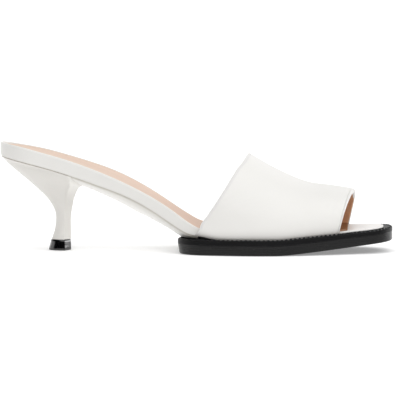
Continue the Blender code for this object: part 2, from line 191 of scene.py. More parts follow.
class Profile(NamedTuple):
    """Side view of the footbed: top of the rim, and lower edge of its wall."""

    x: float
    rim: float
    under: float


PROFILE = tuple(Profile(*row) for row in (
    (-124.0, 68.5, 60.2), (-111.0, 66.0, 57.25), (-98.5, 63.1, 54.0),
    (-86.0, 59.7, 50.4), (-73.5, 55.6, 46.3), (-61.0, 50.9, 41.9),
    (-48.5, 45.6, 37.3), (-36.0, 39.6, 31.5), (-23.5, 32.7, 24.0),
    (-11.0, 24.65, 15.8), (-4.0, 20.15, 12.4), (2.0, 16.6, 11.3),
    (8.0, 14.2, 10.7), (16.0, 12.0, 9.95), (26.0, 11.0, 9.6),
    (36.0, 10.9, 9.6),
))


class Instep(NamedTuple):
    """The last over the vamp: height of its ridge, how square it is, its lean in Y."""

    x: float
    ridge: float
    fullness: float
    skew: float


INSTEP = tuple(Instep(*row) for row in (
    (-6.0, 79.0, 2.0, 6.0), (12.0, 72.2, 2.0, 5.5),
    (32.0, 61.7, 2.05, 5.0), (46.0, 53.5, 2.1, 4.5),
    (58.0, 47.6, 2.2, 4.0), (70.0, 43.1, 2.35, 3.0),
    (84.0, 40.9, 2.45, 2.5), (104.0, 37.8, 2.5, 2.0),
))


class HeelRow(NamedTuple):
    """One ring of the heel: back and breast with their heights, corner, width, form."""

    back: float
    back_z: float
    breast: float
    breast_z: float
    corner: float
    half_width: float
    squareness: float


HEEL = tuple(HeelRow(*row) for row in (
    (-91.2, 6.8, -78.95, 6.8, -82.8, 6.9, 2.0),
    (-89.6, 11.5, -78.95, 11.5, -82.6, 6.6, 2.0),
    (-88.6, 17.5, -79.05, 17.0, -82.4, 6.5, 2.0),
    (-88.55, 22.0, -78.9, 22.0, -82.3, 6.8, 2.0),
    (-89.7, 26.4, -78.25, 26.6, -82.2, 7.7, 2.0),
    (-91.15, 29.0, -77.85, 28.7, -82.0, 8.5, 2.0),
    (-93.2, 32.0, -77.4, 31.0, -81.8, 9.7, 2.0),
    (-96.7, 35.8, -76.65, 33.6, -81.4, 11.8, 2.2),
    (-102.25, 41.0, -75.5, 36.4, -81.0, 14.9, 2.4),
    (-108.2, 46.2, -74.5, 38.4, -80.5, 18.1, 2.65),
    (-113.7, 50.9, -73.2, 39.7, -79.9, 20.9, 2.95),
    (-118.6, 55.5, -71.9, 40.6, -79.3, 22.9, 3.3),
))

TOP_PIECE = tuple(HeelRow(*row) for row in (
    (-91.3, 6.55, -79.3, 6.55, -82.5, 6.7, 2.0),
    (-91.6, 6.4, -79.15, 6.4, -82.45, 6.95, 2.0),
    (-91.85, 5.2, -79.1, 5.2, -82.4, 7.05, 2.0),
    (-92.2, 3.6, -79.0, 3.6, -82.35, 7.2, 2.0),
    (-92.8, 1.8, -78.95, 1.8, -82.3, 7.4, 2.0),
    (-93.15, 0.6, -78.9, 0.6, -82.25, 7.6, 2.0),
    (-93.1, 0.2, -78.95, 0.2, -82.25, 7.5, 2.0),
    (-92.8, 0.0, -79.2, 0.0, -82.25, 7.2, 2.0),
))


class Fold(NamedTuple):
    """One soft trough (depth above 0) or ridge of the vamp, in the shoe's sizes.

    It runs from a low to a high point of the lateral or medial side, given as the
    angle round the foot (0 lateral, 90 over the ridge, 180 medial) and the X of
    its middle line at either end.
    """

    low_angle: float
    low_x: float
    high_angle: float
    high_x: float
    width: float
    depth: float


FOLDS = tuple(Fold(*row) for row in (
    (18.0, 27.0, 62.0, 44.0, 9.0, 0.30),
    (20.0, 44.0, 75.0, 60.0, 11.0, -0.22),
    (30.0, 62.0, 110.0, 66.0, 8.0, 0.24),
    (12.0, 83.0, 44.0, 86.0, 2.2, 0.16),
    (14.0, 79.0, 40.0, 81.5, 2.0, 0.10),
    (48.0, 74.0, 120.0, 74.0, 6.0, 0.18),
    (118.0, 60.0, 165.0, 46.0, 10.0, 0.28),
    (140.0, 80.0, 168.0, 74.0, 3.0, 0.16),
))


# ---- the last


@dataclass(frozen=True)
class Last:
    """The last and the sole laid on it: sizes, outline and heights, in millimetres."""

    length: float = 246.0
    ball_width: float = 85.8
    gap: float = 0.3
    ledge: float = 4.0
    toe_ledge: float = 5.6
    toe_widening: Step = Step(100.0, 118.0)
    outsole: float = 6.4
    welt: float = 2.6
    thinned: Step = Step(60.0, 118.0, 0.6)
    lip: float = 1.6
    toe_lip: Step = Step(90.0, 118.0, -0.6)
    arch: Bell = Bell(-47.5, 26.5, 1.95)
    arch_end: float = 36.0
    ball_dip: Bell = Bell(-5.0, 7.0, 0.8)
    heel_tilt: Step = Step(-92.0, -112.0, 1.3)
    dish: float = 0.5
    heel_dish: Step = Step(-55.0, -95.0, 0.9)
    recess: Step = Step(18.0, -10.0)
    sock: float = 0.9
    sock_inset: float = 1.3
    sock_front: float = 96.6
    sole_back: float = -8.8
    flat_end: float = 50.0
    spring: float = 0.1135
    spring_soft: float = 8.0
    breast: float = -70.3
    breast_sweep: float = 8.5
    seat_radius: float = 19.0
    seat_bow: float = 0.4
    toe_radius: float = 9.0
    toe_bow: float = 0.6

    @property
    def toe(self) -> float:
        """X of the sole's front."""
        return self.length / 2

    @property
    def back(self) -> float:
        """X of the footbed's back."""
        return -self.length / 2

    @cached_property
    def columns(self) -> dict[str, Spline]:
        """Splines through the columns of the outline and profile tables."""
        return splines(OUTLINE) | splines(PROFILE)

    def lateral(self, x: Array) -> Array:
        """Y of the footbed's outer side."""
        return (self.ball_width / 2 - self.ledge) * self.columns["lateral"](x)

    def medial(self, x: Array) -> Array:
        """Y of the footbed's inner side."""
        return (self.ball_width / 2 - self.ledge) * self.columns["medial"](x)

    def share(self, x: Array, y: Array) -> Array:
        """0 at the lateral edge of the footbed, 1 at the medial edge."""
        return np.clip((y - self.lateral(x)) / (self.medial(x) - self.lateral(x)), 0, 1)

    def tread(self, x: Array) -> Array:
        """Underside of the outsole: flat, then a slope that sets in softly."""
        past = np.maximum(np.asarray(x, dtype=float) - self.flat_end, 0)
        return self.spring * past * past / (past + self.spring_soft)

    def outsole_top(self, x: Array) -> Array:
        """Upper face of the outsole."""
        return self.tread(x) + self.outsole - self.thinned(x)

    def welt_top(self, x: Array) -> Array:
        """Upper face of the welt."""
        return self.outsole_top(x) + self.gap + self.welt - self.thinned(x)

    def along_arch(self, column: str, x: Array, forward: Array) -> Array:
        """Height from the profile table, and forward of the arch the height given."""
        height = self.columns[column](np.minimum(x, self.arch_end))
        return np.where(x < self.arch_end, height, forward)

    def rim(self, x: Array, y: Array) -> Array:
        """Top of the footbed's rim.

        The medial edge is carried higher by a bell along the waist. The lateral side
        dips a little where the arch ends and stands a little higher round the heel.

        Args:
            x: station along the shoe.
            y: place across it.

        Returns:
            The height.
        """
        forward = self.welt_top(x) + self.lip + self.toe_lip(x)
        height = self.along_arch("rim", x, forward)
        share = self.share(x, y)
        tilt = self.heel_tilt(x) * (0.5 - share)
        return height + self.arch(x) * share - self.ball_dip(x) * (1 - share) + tilt

    def under(self, x: Array, y: Array) -> Array:
        """Underside of the footbed."""
        height = self.along_arch("under", x, self.welt_top(x) + self.gap)
        return height + self.arch(x) * self.share(x, y)

    def seat(self, x: Array, y: Array) -> Array:
        """Face of the footbed under the sock: dished across, level with the rim at the ball."""
        across = 1 - (2 * self.share(x, y) - 1) ** 2
        dish = (self.dish + self.heel_dish(x)) * across
        return self.rim(x, y) - (self.sock + self.gap + dish) * self.recess(x)

    def ledge_at(self, x: Array) -> Array:
        """How far welt and outsole stand out past the footbed."""
        return self.ledge + (self.toe_ledge - self.ledge) * self.toe_widening(x)


def corner_cut(distance: Array, radius: float) -> Array:
    """How far a round corner pulls a side in, at a distance from the end."""
    inside = np.clip(radius - distance, 0, radius)
    return radius - np.sqrt(radius ** 2 - inside ** 2)


@dataclass(frozen=True)
class Plan:
    """Closed outline of one layer of the shoe, between two ends with round corners.

    Its loop runs up the lateral side, across the front, down the medial side and
    across the back, with as many points on either side.
    """

    last: Last
    back: float
    front: float
    back_radius: float
    front_radius: float
    along: int = 230
    across: int = 33
    corner: int = 22
    back_bow: float = 0.0
    front_bow: float = 0.0
    back_skew: float = 0.0
    front_skew: float = 0.0
    lean_run: float = 30.0
    smoothing: int = 8

    @cached_property
    def edge(self) -> Array:
        """Outline itself.

        Its sides are the last's, pulled in by round corners at both ends. The ends
        bow and lean, and averaging neighbours a few times softens all of it.

        Returns:
            Points in plan, one row a point.
        """
        turn = np.linspace(0, np.pi / 2, self.corner)
        back_part = self.back + self.back_radius * (1 - np.cos(turn))
        front_part = self.front - self.front_radius * (1 - np.cos(turn[::-1]))
        count = self.along - 2 * self.corner + 2
        middle = np.linspace(back_part[-1], front_part[0], count)[1:-1]
        x = np.concatenate((back_part, middle, front_part))
        cut = corner_cut(x - self.back, self.back_radius)
        cut = cut + corner_cut(self.front - x, self.front_radius)
        low, high = self.last.lateral(x) + cut, self.last.medial(x) - cut
        t = np.linspace(0, 1, self.across)[1:-1]
        bulge = 1 - (2 * t - 1) ** 2
        rear, front = (np.column_stack((x[i] + bulge * bow + skew * (t - 0.5),
                                        low[i] + (high[i] - low[i]) * t))
                       for i, bow, skew in ((0, -self.back_bow, self.back_skew),
                                            (-1, self.front_bow, self.front_skew)))
        lean = (ease(x, self.front - self.lean_run, self.front) * self.front_skew
                + ease(x, self.back + self.lean_run, self.back) * self.back_skew) / 2
        loop = round_loop(np.column_stack((x - lean, low)), front,
                          np.column_stack((x + lean, high)), rear)
        for _ in range(self.smoothing):
            loop = 0.5 * loop + 0.25 * (np.roll(loop, 1, axis=0) + np.roll(loop, -1, axis=0))
        return loop

    def loop(self, outset: Distance) -> Array:
        """Outline moved outwards along its normals.

        Args:
            outset: one distance, or one a point.

        Returns:
            Points in plan, one row a point.
        """
        points = self.edge
        ahead = np.roll(points, -1, axis=0) - np.roll(points, 1, axis=0)
        normal = unit(np.column_stack((ahead[:, 1], -ahead[:, 0])))
        return points + normal * np.reshape(outset, (-1, 1))

    def ring(self, outset: Distance, height: Height, drop: Distance = 0.0) -> Array:
        """Outline with heights: the height function at each point, less a drop."""
        flat = self.loop(outset)
        return np.column_stack((flat, height(*flat.T) - drop))

    def rounded(self, radius: Distance, face: Height, count: int, outset: Distance = 0.0,
                lower: bool = False, start: float = 0.0) -> list[Array]:
        """Rings over a quarter circle, from the edge of a face to the wall or back.

        Args:
            radius: of the quarter circle.
            face: height of the face.
            count: number of rings.
            outset: how far the wall stands out.
            lower: whether the face lies below the wall.
            start: angle of the first ring, in radians.

        Returns:
            The rings, from top to bottom.
        """
        rings = []
        for angle in np.linspace(start, np.pi / 2, count):
            first, second = radius * (1 - np.sin(angle)), radius * (1 - np.cos(angle))
            rings.append(self.ring(outset - second, face, -first) if lower
                         else self.ring(outset - first, face, second))
        return rings


# ---- meshes


class Shape(NamedTuple):
    """Surface in millimetres: points, four-sided faces and named numbers of its points."""

    points: Array
    quads: Array
    marks: Mapping[str, Array] = {}


def grid_index(rows: int, columns: int) -> Array:
    """Running number of each point of a grid."""
    return np.arange(rows * columns).reshape(rows, columns)


def grid_quads(index: Array, flip: bool = False) -> Array:
    """Four-sided faces between the points of a grid of indices.

    Args:
        index: index of each point, rows by columns.
        flip: whether the faces look the other way.

    Returns:
        One row of four indices a face.
    """
    corners = (index[:-1, :-1], index[1:, :-1], index[1:, 1:], index[:-1, 1:])
    quads = np.stack(corners, axis=2).reshape(-1, 4)
    return quads[:, ::-1] if flip else quads


def round_loop(lateral: Array, front: Array, medial: Array, back: Array) -> Array:
    """Closed loop: up the lateral side, over the front, down the medial side and back."""
    return np.concatenate((lateral, front, medial[::-1], back[::-1]))


def edge_index(along: int, across: int) -> Array:
    """Index in a grid of each point of its edge, in a plan's loop order."""
    i = grid_index(along, across)
    return round_loop(i[:, 0], i[-1, 1:-1], i[:, -1], i[0, 1:-1])


def spread(loop: Array, along: int, across: int) -> Array:
    """Grid whose edge is the loop and whose rows run straight from side to side.

    Args:
        loop: points in plan, in a plan's loop order.
        along: points on either side of the loop.
        across: points across either end, corners included.

    Returns:
        Points in plan, along by across by 2.
    """
    lateral, front = loop[:along], loop[along:along + across - 2]
    medial = loop[along + across - 2:2 * along + across - 2][::-1]
    back = loop[2 * along + across - 2:][::-1]
    t = np.linspace(0, 1, across)[None, :, None]
    grid = lateral[:, None] * (1 - t) + medial[:, None] * t
    grid[-1, 1:-1], grid[0, 1:-1] = front, back
    return grid


def skin_quads(along: int, across: int, between: int) -> Array:
    """Faces of a closed skin: a grid, rings round its edge, and a grid facing away.

    Args:
        along: rows of either grid.
        across: columns of either grid.
        between: how many rings lie between the two.

    Returns:
        One row of four indices a face.
    """
    size, edge = along * across, edge_index(along, across)
    rings = size + np.arange(between * len(edge)).reshape(between, len(edge))
    last = size + rings.size
    rows = np.concatenate((edge[None], rings, last + edge[None]))
    rows = np.concatenate((rows, rows[:, :1]), axis=1)
    grid = grid_index(along, across)
    return np.concatenate((grid_quads(grid), grid_quads(rows), grid_quads(grid + last, True)))


def stack(rings: Sequence[Array], along: int, across: int, top: Height, bottom: Height) -> Shape:
    """Closed skin over rings that run from a top face to a bottom face.

    Args:
        rings: loops of points in a plan's loop order, from top to bottom.
        along: points on either side of a loop.
        across: points across either end of a loop, corners included.
        top: height of the top face.
        bottom: height of the bottom face.

    Returns:
        The skin, with both faces filled by grids.
    """
    faces = []
    for ring, height in ((rings[0], top), (rings[-1], bottom)):
        flat = spread(ring[:, :2], along, across).reshape(-1, 2)
        faces.append(np.column_stack((flat, height(*flat.T))))
        faces[-1][edge_index(along, across)] = ring
    points = np.concatenate((faces[0], *rings[1:-1], faces[1]))
    return Shape(points, skin_quads(along, across, len(rings) - 2))


def facing_out(shape: Shape) -> Shape:
    """Turn all faces of a closed skin if its signed volume is below nothing."""
    a, b, c, d = (shape.points[shape.quads[:, k]] for k in range(4))
    volume = np.einsum("ij,ij->", a, np.cross(b, c)) + np.einsum("ij,ij->", a, np.cross(c, d))
    return shape if volume > 0 else shape._replace(quads=shape.quads[:, ::-1])


def make_object(name: str, shape: Shape, material: bpy.types.Material) -> bpy.types.Object:
    """Put a surface into the scene, in metres and shaded smooth.

    Args:
        name: name of the object and its mesh.
        shape: its surface; each mark becomes an attribute.
        material: its finish.

    Returns:
        The object, at the origin.
    """
    mesh = bpy.data.meshes.new(name)
    mesh.vertices.add(len(shape.points))
    mesh.vertices.foreach_set("co", (shape.points * MM).astype(np.float32).ravel())
    mesh.loops.add(shape.quads.size)
    mesh.loops.foreach_set("vertex_index", shape.quads.astype(np.int32).ravel())
    mesh.polygons.add(len(shape.quads))
    mesh.polygons.foreach_set("loop_start", np.arange(0, shape.quads.size, 4, dtype=np.int32))
    mesh.update(calc_edges=True)
    mesh.shade_smooth()
    for mark, values in shape.marks.items():
        layer = mesh.attributes.new(mark, "FLOAT", "POINT")
        layer.data.foreach_set("value", np.asarray(values, dtype=np.float32).ravel())
    mesh.materials.append(material)
    return link(name, mesh)


def link(name: str, data: bpy.types.ID) -> bpy.types.Object:
    """New object in the scene for a mesh, lamp or camera."""
    made = bpy.data.objects.new(name, data)
    bpy.context.scene.collection.objects.link(made)
    return made


# ---- shader maths


def arithmetic(operation: str, reflected: bool = False) -> Callable[[Signal, Term], Signal]:
    """Method that joins a signal and a term with one Math node.

    Args:
        operation: what the node does with the two.
        reflected: whether the term comes first.

    Returns:
        The method.
    """
    def method(self: Signal, other: Term) -> Signal:
        """Result of the two numbers, as a signal."""
        pair = (other, self) if reflected else (self, other)
        return self.board.math(operation, *pair)

    return method


class Signal:
    """A number that varies over a surface, for use in Python expressions."""

    def __init__(self, board: Board, socket: bpy.types.NodeSocket) -> None:
        """Wrap one output socket of a board."""
        self.board = board
        self.socket = socket

    __add__, __radd__ = arithmetic("ADD"), arithmetic("ADD", True)
    __sub__, __rsub__ = arithmetic("SUBTRACT"), arithmetic("SUBTRACT", True)
    __mul__, __rmul__ = arithmetic("MULTIPLY"), arithmetic("MULTIPLY", True)
    __truediv__, __pow__ = arithmetic("DIVIDE"), arithmetic("POWER")

    def clipped(self) -> Signal:
        """The same number, held between 0 and 1."""
        return self.board.math("MAXIMUM", self.board.math("MINIMUM", self, 1.0), 0.0)


Term = Union[Signal, float, int]


class Board:
    """The node tree of one material, with short ways to add what the finishes need."""

    COLOUR_A, COLOUR_B, COLOUR_OUT = 6, 7, 2

    def __init__(self, owner: Union[bpy.types.Material, bpy.types.World], shader: str) -> None:
        """Take over the node tree of a material or of the surroundings.

        Args:
            owner: what the nodes belong to.
            shader: name of the node that ends up in its output.
        """
        owner.use_nodes = True
        self.owner = owner
        self.tree = owner.node_tree
        self.shader = self.tree.nodes[shader]

    @classmethod
    def material(cls, name: str) -> Board:
        """Board of a new material."""
        return cls(bpy.data.materials.new(name), "Principled BSDF")

    def node(self, kind: str, settings: Optional[Mapping[str, object]] = None,
             values: Optional[Mapping[Union[str, int], object]] = None) -> bpy.types.Node:
        """Add a node, set it up and then fill its sockets.

        Args:
            kind: Blender's name of the node type.
            settings: properties of the node, set first.
            values: number, colour or link of each socket, by name or index.

        Returns:
            The node.
        """
        made = self.tree.nodes.new(kind)
        for key, value in (settings or {}).items():
            setattr(made, key, value)
        for key, value in (values or {}).items():
            self.feed(made.inputs[key], value)
        return made

    def feed(self, target: bpy.types.NodeSocket, value: object) -> None:
        """Link a signal or socket to an input, or set the input's own number.

        Args:
            target: the input.
            value: what it gets.
        """
        if isinstance(value, Signal):
            value = value.socket
        if isinstance(value, bpy.types.NodeSocket):
            self.tree.links.new(value, target)
        else:
            target.default_value = value

    def math(self, operation: str, first: Term, second: Term) -> Signal:
        """One Math node."""
        made = self.node("ShaderNodeMath", {"operation": operation}, {0: first, 1: second})
        return Signal(self, made.outputs[0])

    def place(self, size: tuple[float, float, float], turn: float = 0.0) -> bpy.types.NodeSocket:
        """Object coordinates measured in features of the given size.

        Args:
            size: length of one feature along X, Y and Z, in millimetres.
            turn: rotation about Y before the scaling, in radians.

        Returns:
            The vector's socket.
        """
        where = self.node("ShaderNodeTexCoord").outputs["Object"]
        scale = tuple(1 / (MM * s) for s in size)
        turned = self.node("ShaderNodeMapping", {"vector_type": "POINT"},
                           {"Vector": where, "Rotation": (0.0, turn, 0.0)}).outputs[0]
        return self.node("ShaderNodeMapping", {"vector_type": "POINT"},
                         {"Vector": turned, "Scale": scale}).outputs[0]

    def noise(self, size: Union[float, tuple[float, float, float]], detail: float = 2.0,
              rough: float = 0.5, turn: float = 0.0) -> Signal:
        """Soft random pattern between about 0.2 and 0.8.

        Args:
            size: length of one feature in millimetres, or one along each axis.
            detail: how many finer layers are added.
            rough: strength of each finer layer against the one before.
            turn: rotation about Y, in radians.

        Returns:
            The pattern.
        """
        sizes = size if isinstance(size, tuple) else (size,) * 3
        made = self.node("ShaderNodeTexNoise", None,
                         {"Vector": self.place(sizes, turn), "Scale": 1.0, "Detail": detail,
                          "Roughness": rough})
        return Signal(self, made.outputs[0])

    def cells(self, size: float) -> Signal:
        """Distance to the nearest of many scattered points, one every size millimetres."""
        made = self.node("ShaderNodeTexVoronoi", {"feature": "F1"},
                         {"Vector": self.place((size,) * 3), "Scale": 1.0})
        return Signal(self, made.outputs[0])

    def mark(self, name: str) -> Signal:
        """Number that the mesh carries at each point."""
        made = self.node("ShaderNodeAttribute", {"attribute_name": name})
        return Signal(self, made.outputs["Fac"])

    def blend(self, share: Term, first: object, second: object) -> bpy.types.NodeSocket:
        """Mix two colours.

        Args:
            share: 0 for the first colour, 1 for the second.
            first: colour or socket.
            second: colour or socket.

        Returns:
            The colour's socket.
        """
        made = self.node("ShaderNodeMix", {"data_type": "RGBA", "blend_type": "MIX"},
                         {0: share, self.COLOUR_A: first, self.COLOUR_B: second})
        return made.outputs[self.COLOUR_OUT]

    def relief(self, height: Signal, depth: float,
               over: Optional[bpy.types.NodeSocket] = None) -> bpy.types.NodeSocket:
        """Normal of a surface raised by a pattern.

        Args:
            height: pattern between 0 and 1.
            depth: height of the pattern in millimetres.
            over: normal of a coarser relief under this one.

        Returns:
            The normal's socket.
        """
        values: dict[Union[str, int], object] = {"Height": height, "Strength": 1.0,
                                                 "Distance": depth * MM}
        if over is not None:
            values["Normal"] = over
        return self.node("ShaderNodeBump", None, values).outputs[0]

    def finish(self, values: Mapping[str, object]) -> bpy.types.ID:
        """Fill the shader's sockets with numbers and links, and return the nodes' owner."""
        for key, value in values.items():
            self.feed(self.shader.inputs[key], value)
        return self.owner


def grey(level: float) -> Colour:
    """Neutral colour."""
    return (level, level, level, 1.0)


# ---- finishes


class Grain(Enum):
    """How the face of a leather looks from close by."""

    SMOOTH = "smooth"
    FINE = "fine"
    SUEDED = "sueded"


@dataclass(frozen=True)
class Finish:
    """What every finish has: name, main and second colour, roughness and gloss."""

    name: str
    colour: Colour
    deep: Colour
    roughness: float = 0.42
    specular: float = 0.42
    index: ClassVar[float] = 1.5

    def polish(self, board: Board, colour: bpy.types.NodeSocket, rough: Signal,
               normal: bpy.types.NodeSocket) -> bpy.types.Material:
        """Fill the shader of a board with a finish's colour, roughness and relief."""
        return board.finish({"Metallic": 0.0, "IOR": self.index, "Base Color": colour,
                             "Specular IOR Level": self.specular, "Normal": normal,
                             "Roughness": rough.clipped()})


@dataclass(frozen=True)
class Leather(Finish):
    """Leather: tone that wanders a little, soft grain, and painted shade and light from the mesh's
    marks.
    """

    grain: Grain = Grain.SMOOTH
    mottling: float = 0.25
    # Colours the seam and shade marks lay on: mostly painted shade in seams, and painted light or
    # painted shade, set per piece.
    seam: Optional[Colour] = None
    shade: Optional[Colour] = None
    slack: float = 0.05
    index: ClassVar[float] = 1.46
    grain_depth: ClassVar[dict[Grain, float]] = {
        Grain.SMOOTH: 0.012, Grain.FINE: 0.02, Grain.SUEDED: 0.03}

    def material(self) -> bpy.types.Material:
        """Node material of the leather.

        Returns:
            A material whose colour goes from colour to deep by a slow noise, and to
            the seam and shade colours by the mesh's own marks, mostly painted shade
            and painted light.
        """
        board = Board.material(self.name)
        cloud = board.noise((26.0, 18.0, 14.0), 3.0, 0.55)
        fleck = board.noise(1.6, 3.0, 0.6)
        tone = ((cloud - 0.5) * 1.6 + (fleck - 0.5) * 0.5) * self.mottling + 0.35
        colour = board.blend(tone.clipped(), self.colour, self.deep)
        # Painted light and shade: each mark mixes in the colour that stands for the shade or light
        # falling there.
        for mark, tone in (("shade", self.shade), ("seam", self.seam)):
            if tone is not None:
                colour = board.blend(board.mark(mark).clipped(), colour, tone)
        pores = board.cells(0.55 if self.grain is Grain.FINE else 0.8)
        fine = board.noise(0.35, 2.0, 0.6)
        wander = board.noise((12.0, 9.0, 7.0), 2.0, 0.5)
        normal = board.relief(wander, self.slack * 4)
        face = fine if self.grain is Grain.SUEDED else pores * 0.6 + fine * 0.5
        normal = board.relief(face, self.grain_depth[self.grain], normal)
        rough = self.roughness + (cloud - 0.5) * 0.12 + (fleck - 0.5) * 0.08
        return self.polish(board, colour, rough, normal)


@dataclass(frozen=True)
class DressedEdge(Finish):
    """Black sole edge: ink and wax burnished along the cut, with faint long streaks."""

    streak: float = 1.0
    index: ClassVar[float] = 1.45

    def material(self) -> bpy.types.Material:
        """Node material whose tone and gloss follow long, thin streaks.

        Returns:
            The material.
        """
        board = Board.material(self.name)
        streaks = board.noise((60.0, 60.0, 0.7), 3.0, 0.6, turn=0.03)
        cloud = board.noise(9.0, 2.0, 0.5)
        tone = (0.5 + (streaks - 0.5) * 2.2 * self.streak + (cloud - 0.5) * 0.8).clipped()
        colour = board.blend(tone, self.deep, self.colour)
        grit = board.noise(0.5, 2.0, 0.6)
        normal = board.relief(streaks, 0.03)
        normal = board.relief(grit, 0.01, normal)
        rough = self.roughness * (0.5 + streaks * 0.6 + cloud * 0.4)
        return self.polish(board, colour, rough, normal)


@dataclass(frozen=True)
class Thread(Finish):
    """Waxed sewing thread, twisted."""

    def material(self) -> bpy.types.Material:
        """Node material with the strands of the twist as fine slanting ribs.

        Returns:
            The material.
        """
        board = Board.material(self.name)
        strands = board.noise((0.25, 0.5, 0.25), 1.0, 0.5, turn=0.6)
        colour = board.blend(strands, self.colour, self.deep)
        normal = board.relief(strands, 0.05)
        return self.polish(board, colour, self.roughness + strands * 0.1, normal)


WHITE = (0.81, 0.80, 0.775, 1.0)
WHITE_DEEP = (0.75, 0.738, 0.71, 1.0)
FINISHES = {
    # Vamp: seam is painted shade fading up from the welt; shade is painted shade in the crease of
    # its folded edges.
    "vamp": Leather("white_vamp_leather", WHITE, WHITE_DEEP, seam=(0.28, 0.26, 0.24, 1.0),
                    shade=(0.69, 0.68, 0.67, 1.0)),
    # Footbed: seam is painted shade where its wall tucks under; shade is a painted highlight on
    # the rim and painted light on the toe.
    "wrap": Leather("white_footbed_leather", (0.76, 0.75, 0.725, 1.0), (0.71, 0.697, 0.67, 1.0),
                    grain=Grain.FINE, seam=(0.60, 0.565, 0.51, 1.0),
                    shade=(0.845, 0.84, 0.82, 1.0)),
    # Waist: a lighter copy of the white leather, as painted light from below; seam is painted
    # shade in its seams; shade is painted shade towards its sides.
    "waist": Leather("white_waist_leather_painted_light_and_shade", (0.92, 0.91, 0.885, 1.0), (0.88, 0.87, 0.845, 1.0),
                     seam=(0.52, 0.49, 0.435, 1.0), shade=(0.69, 0.675, 0.64, 1.0)),
    # Heel: a darker copy of the white leather, as painted shade; seam is painted shade at the
    # seat; shade is painted light on the breast and the foot.
    "heel": Leather("white_heel_leather_painted_light_and_shade", (0.70, 0.683, 0.65, 1.0), (0.655, 0.633, 0.60, 1.0),
                    seam=(0.62, 0.58, 0.52, 1.0), shade=(0.83, 0.815, 0.78, 1.0)),
    # Sock: seam darkens it near its edge; shade is painted shade under the vamp.
    "sock": Leather("peach_sock_leather", (0.718, 0.557, 0.456, 1.0), (0.667, 0.493, 0.388, 1.0),
                    roughness=0.6, grain=Grain.FINE, specular=0.3, mottling=0.5,
                    seam=(0.62, 0.44, 0.33, 1.0), shade=(0.235, 0.095, 0.03, 1.0)),
    "lining": Leather("brown_lining_leather", (0.80, 0.47, 0.29, 1.0), (0.64, 0.35, 0.20, 1.0),
                      roughness=0.7, grain=Grain.SUEDED, specular=0.2, mottling=0.6),
    "outsole": DressedEdge("black_sole_edge", (0.006, 0.0058, 0.0058, 1.0),
                           (0.003, 0.003, 0.0032, 1.0), roughness=0.26, specular=0.36),
    "welt": DressedEdge("black_welt_edge", (0.0045, 0.0045, 0.005, 1.0),
                        (0.0025, 0.0025, 0.003, 1.0), 0.42, 0.18, streak=0.6),
    "top_piece": DressedEdge("black_heel_tip", (0.003, 0.003, 0.0035, 1.0),
                             (0.0015, 0.0015, 0.002, 1.0), 0.10, 1.0, streak=0.4),
    "thread": Thread("black_waxed_thread", (0.004, 0.004, 0.005, 1.0),
                     (0.03, 0.03, 0.032, 1.0), roughness=0.55, specular=0.3),
}


class Workshop:
    """Makes the finishes once and puts pieces into the scene."""

    def __init__(self) -> None:
        """Make every finish's material."""
        self.materials = {key: finish.material() for key, finish in FINISHES.items()}

    def add(self, name: str, shape: Shape, finish: str, slot: str, *stands_for: str) -> None:
        """Put one finished piece into the scene, riding on the root body.

        Args:
            name: the piece's name.
            shape: its surface.
            finish: key of its finish.
            slot: not used.
            stands_for: CAD nodes that it replaces.
        """
        piece = make_object(name, shape, self.materials[finish])
        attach(piece, ROOT)
        if stands_for:
            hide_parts(*stands_for)
        log.info("%s: %d faces", name, len(shape.quads))


# ---- sole


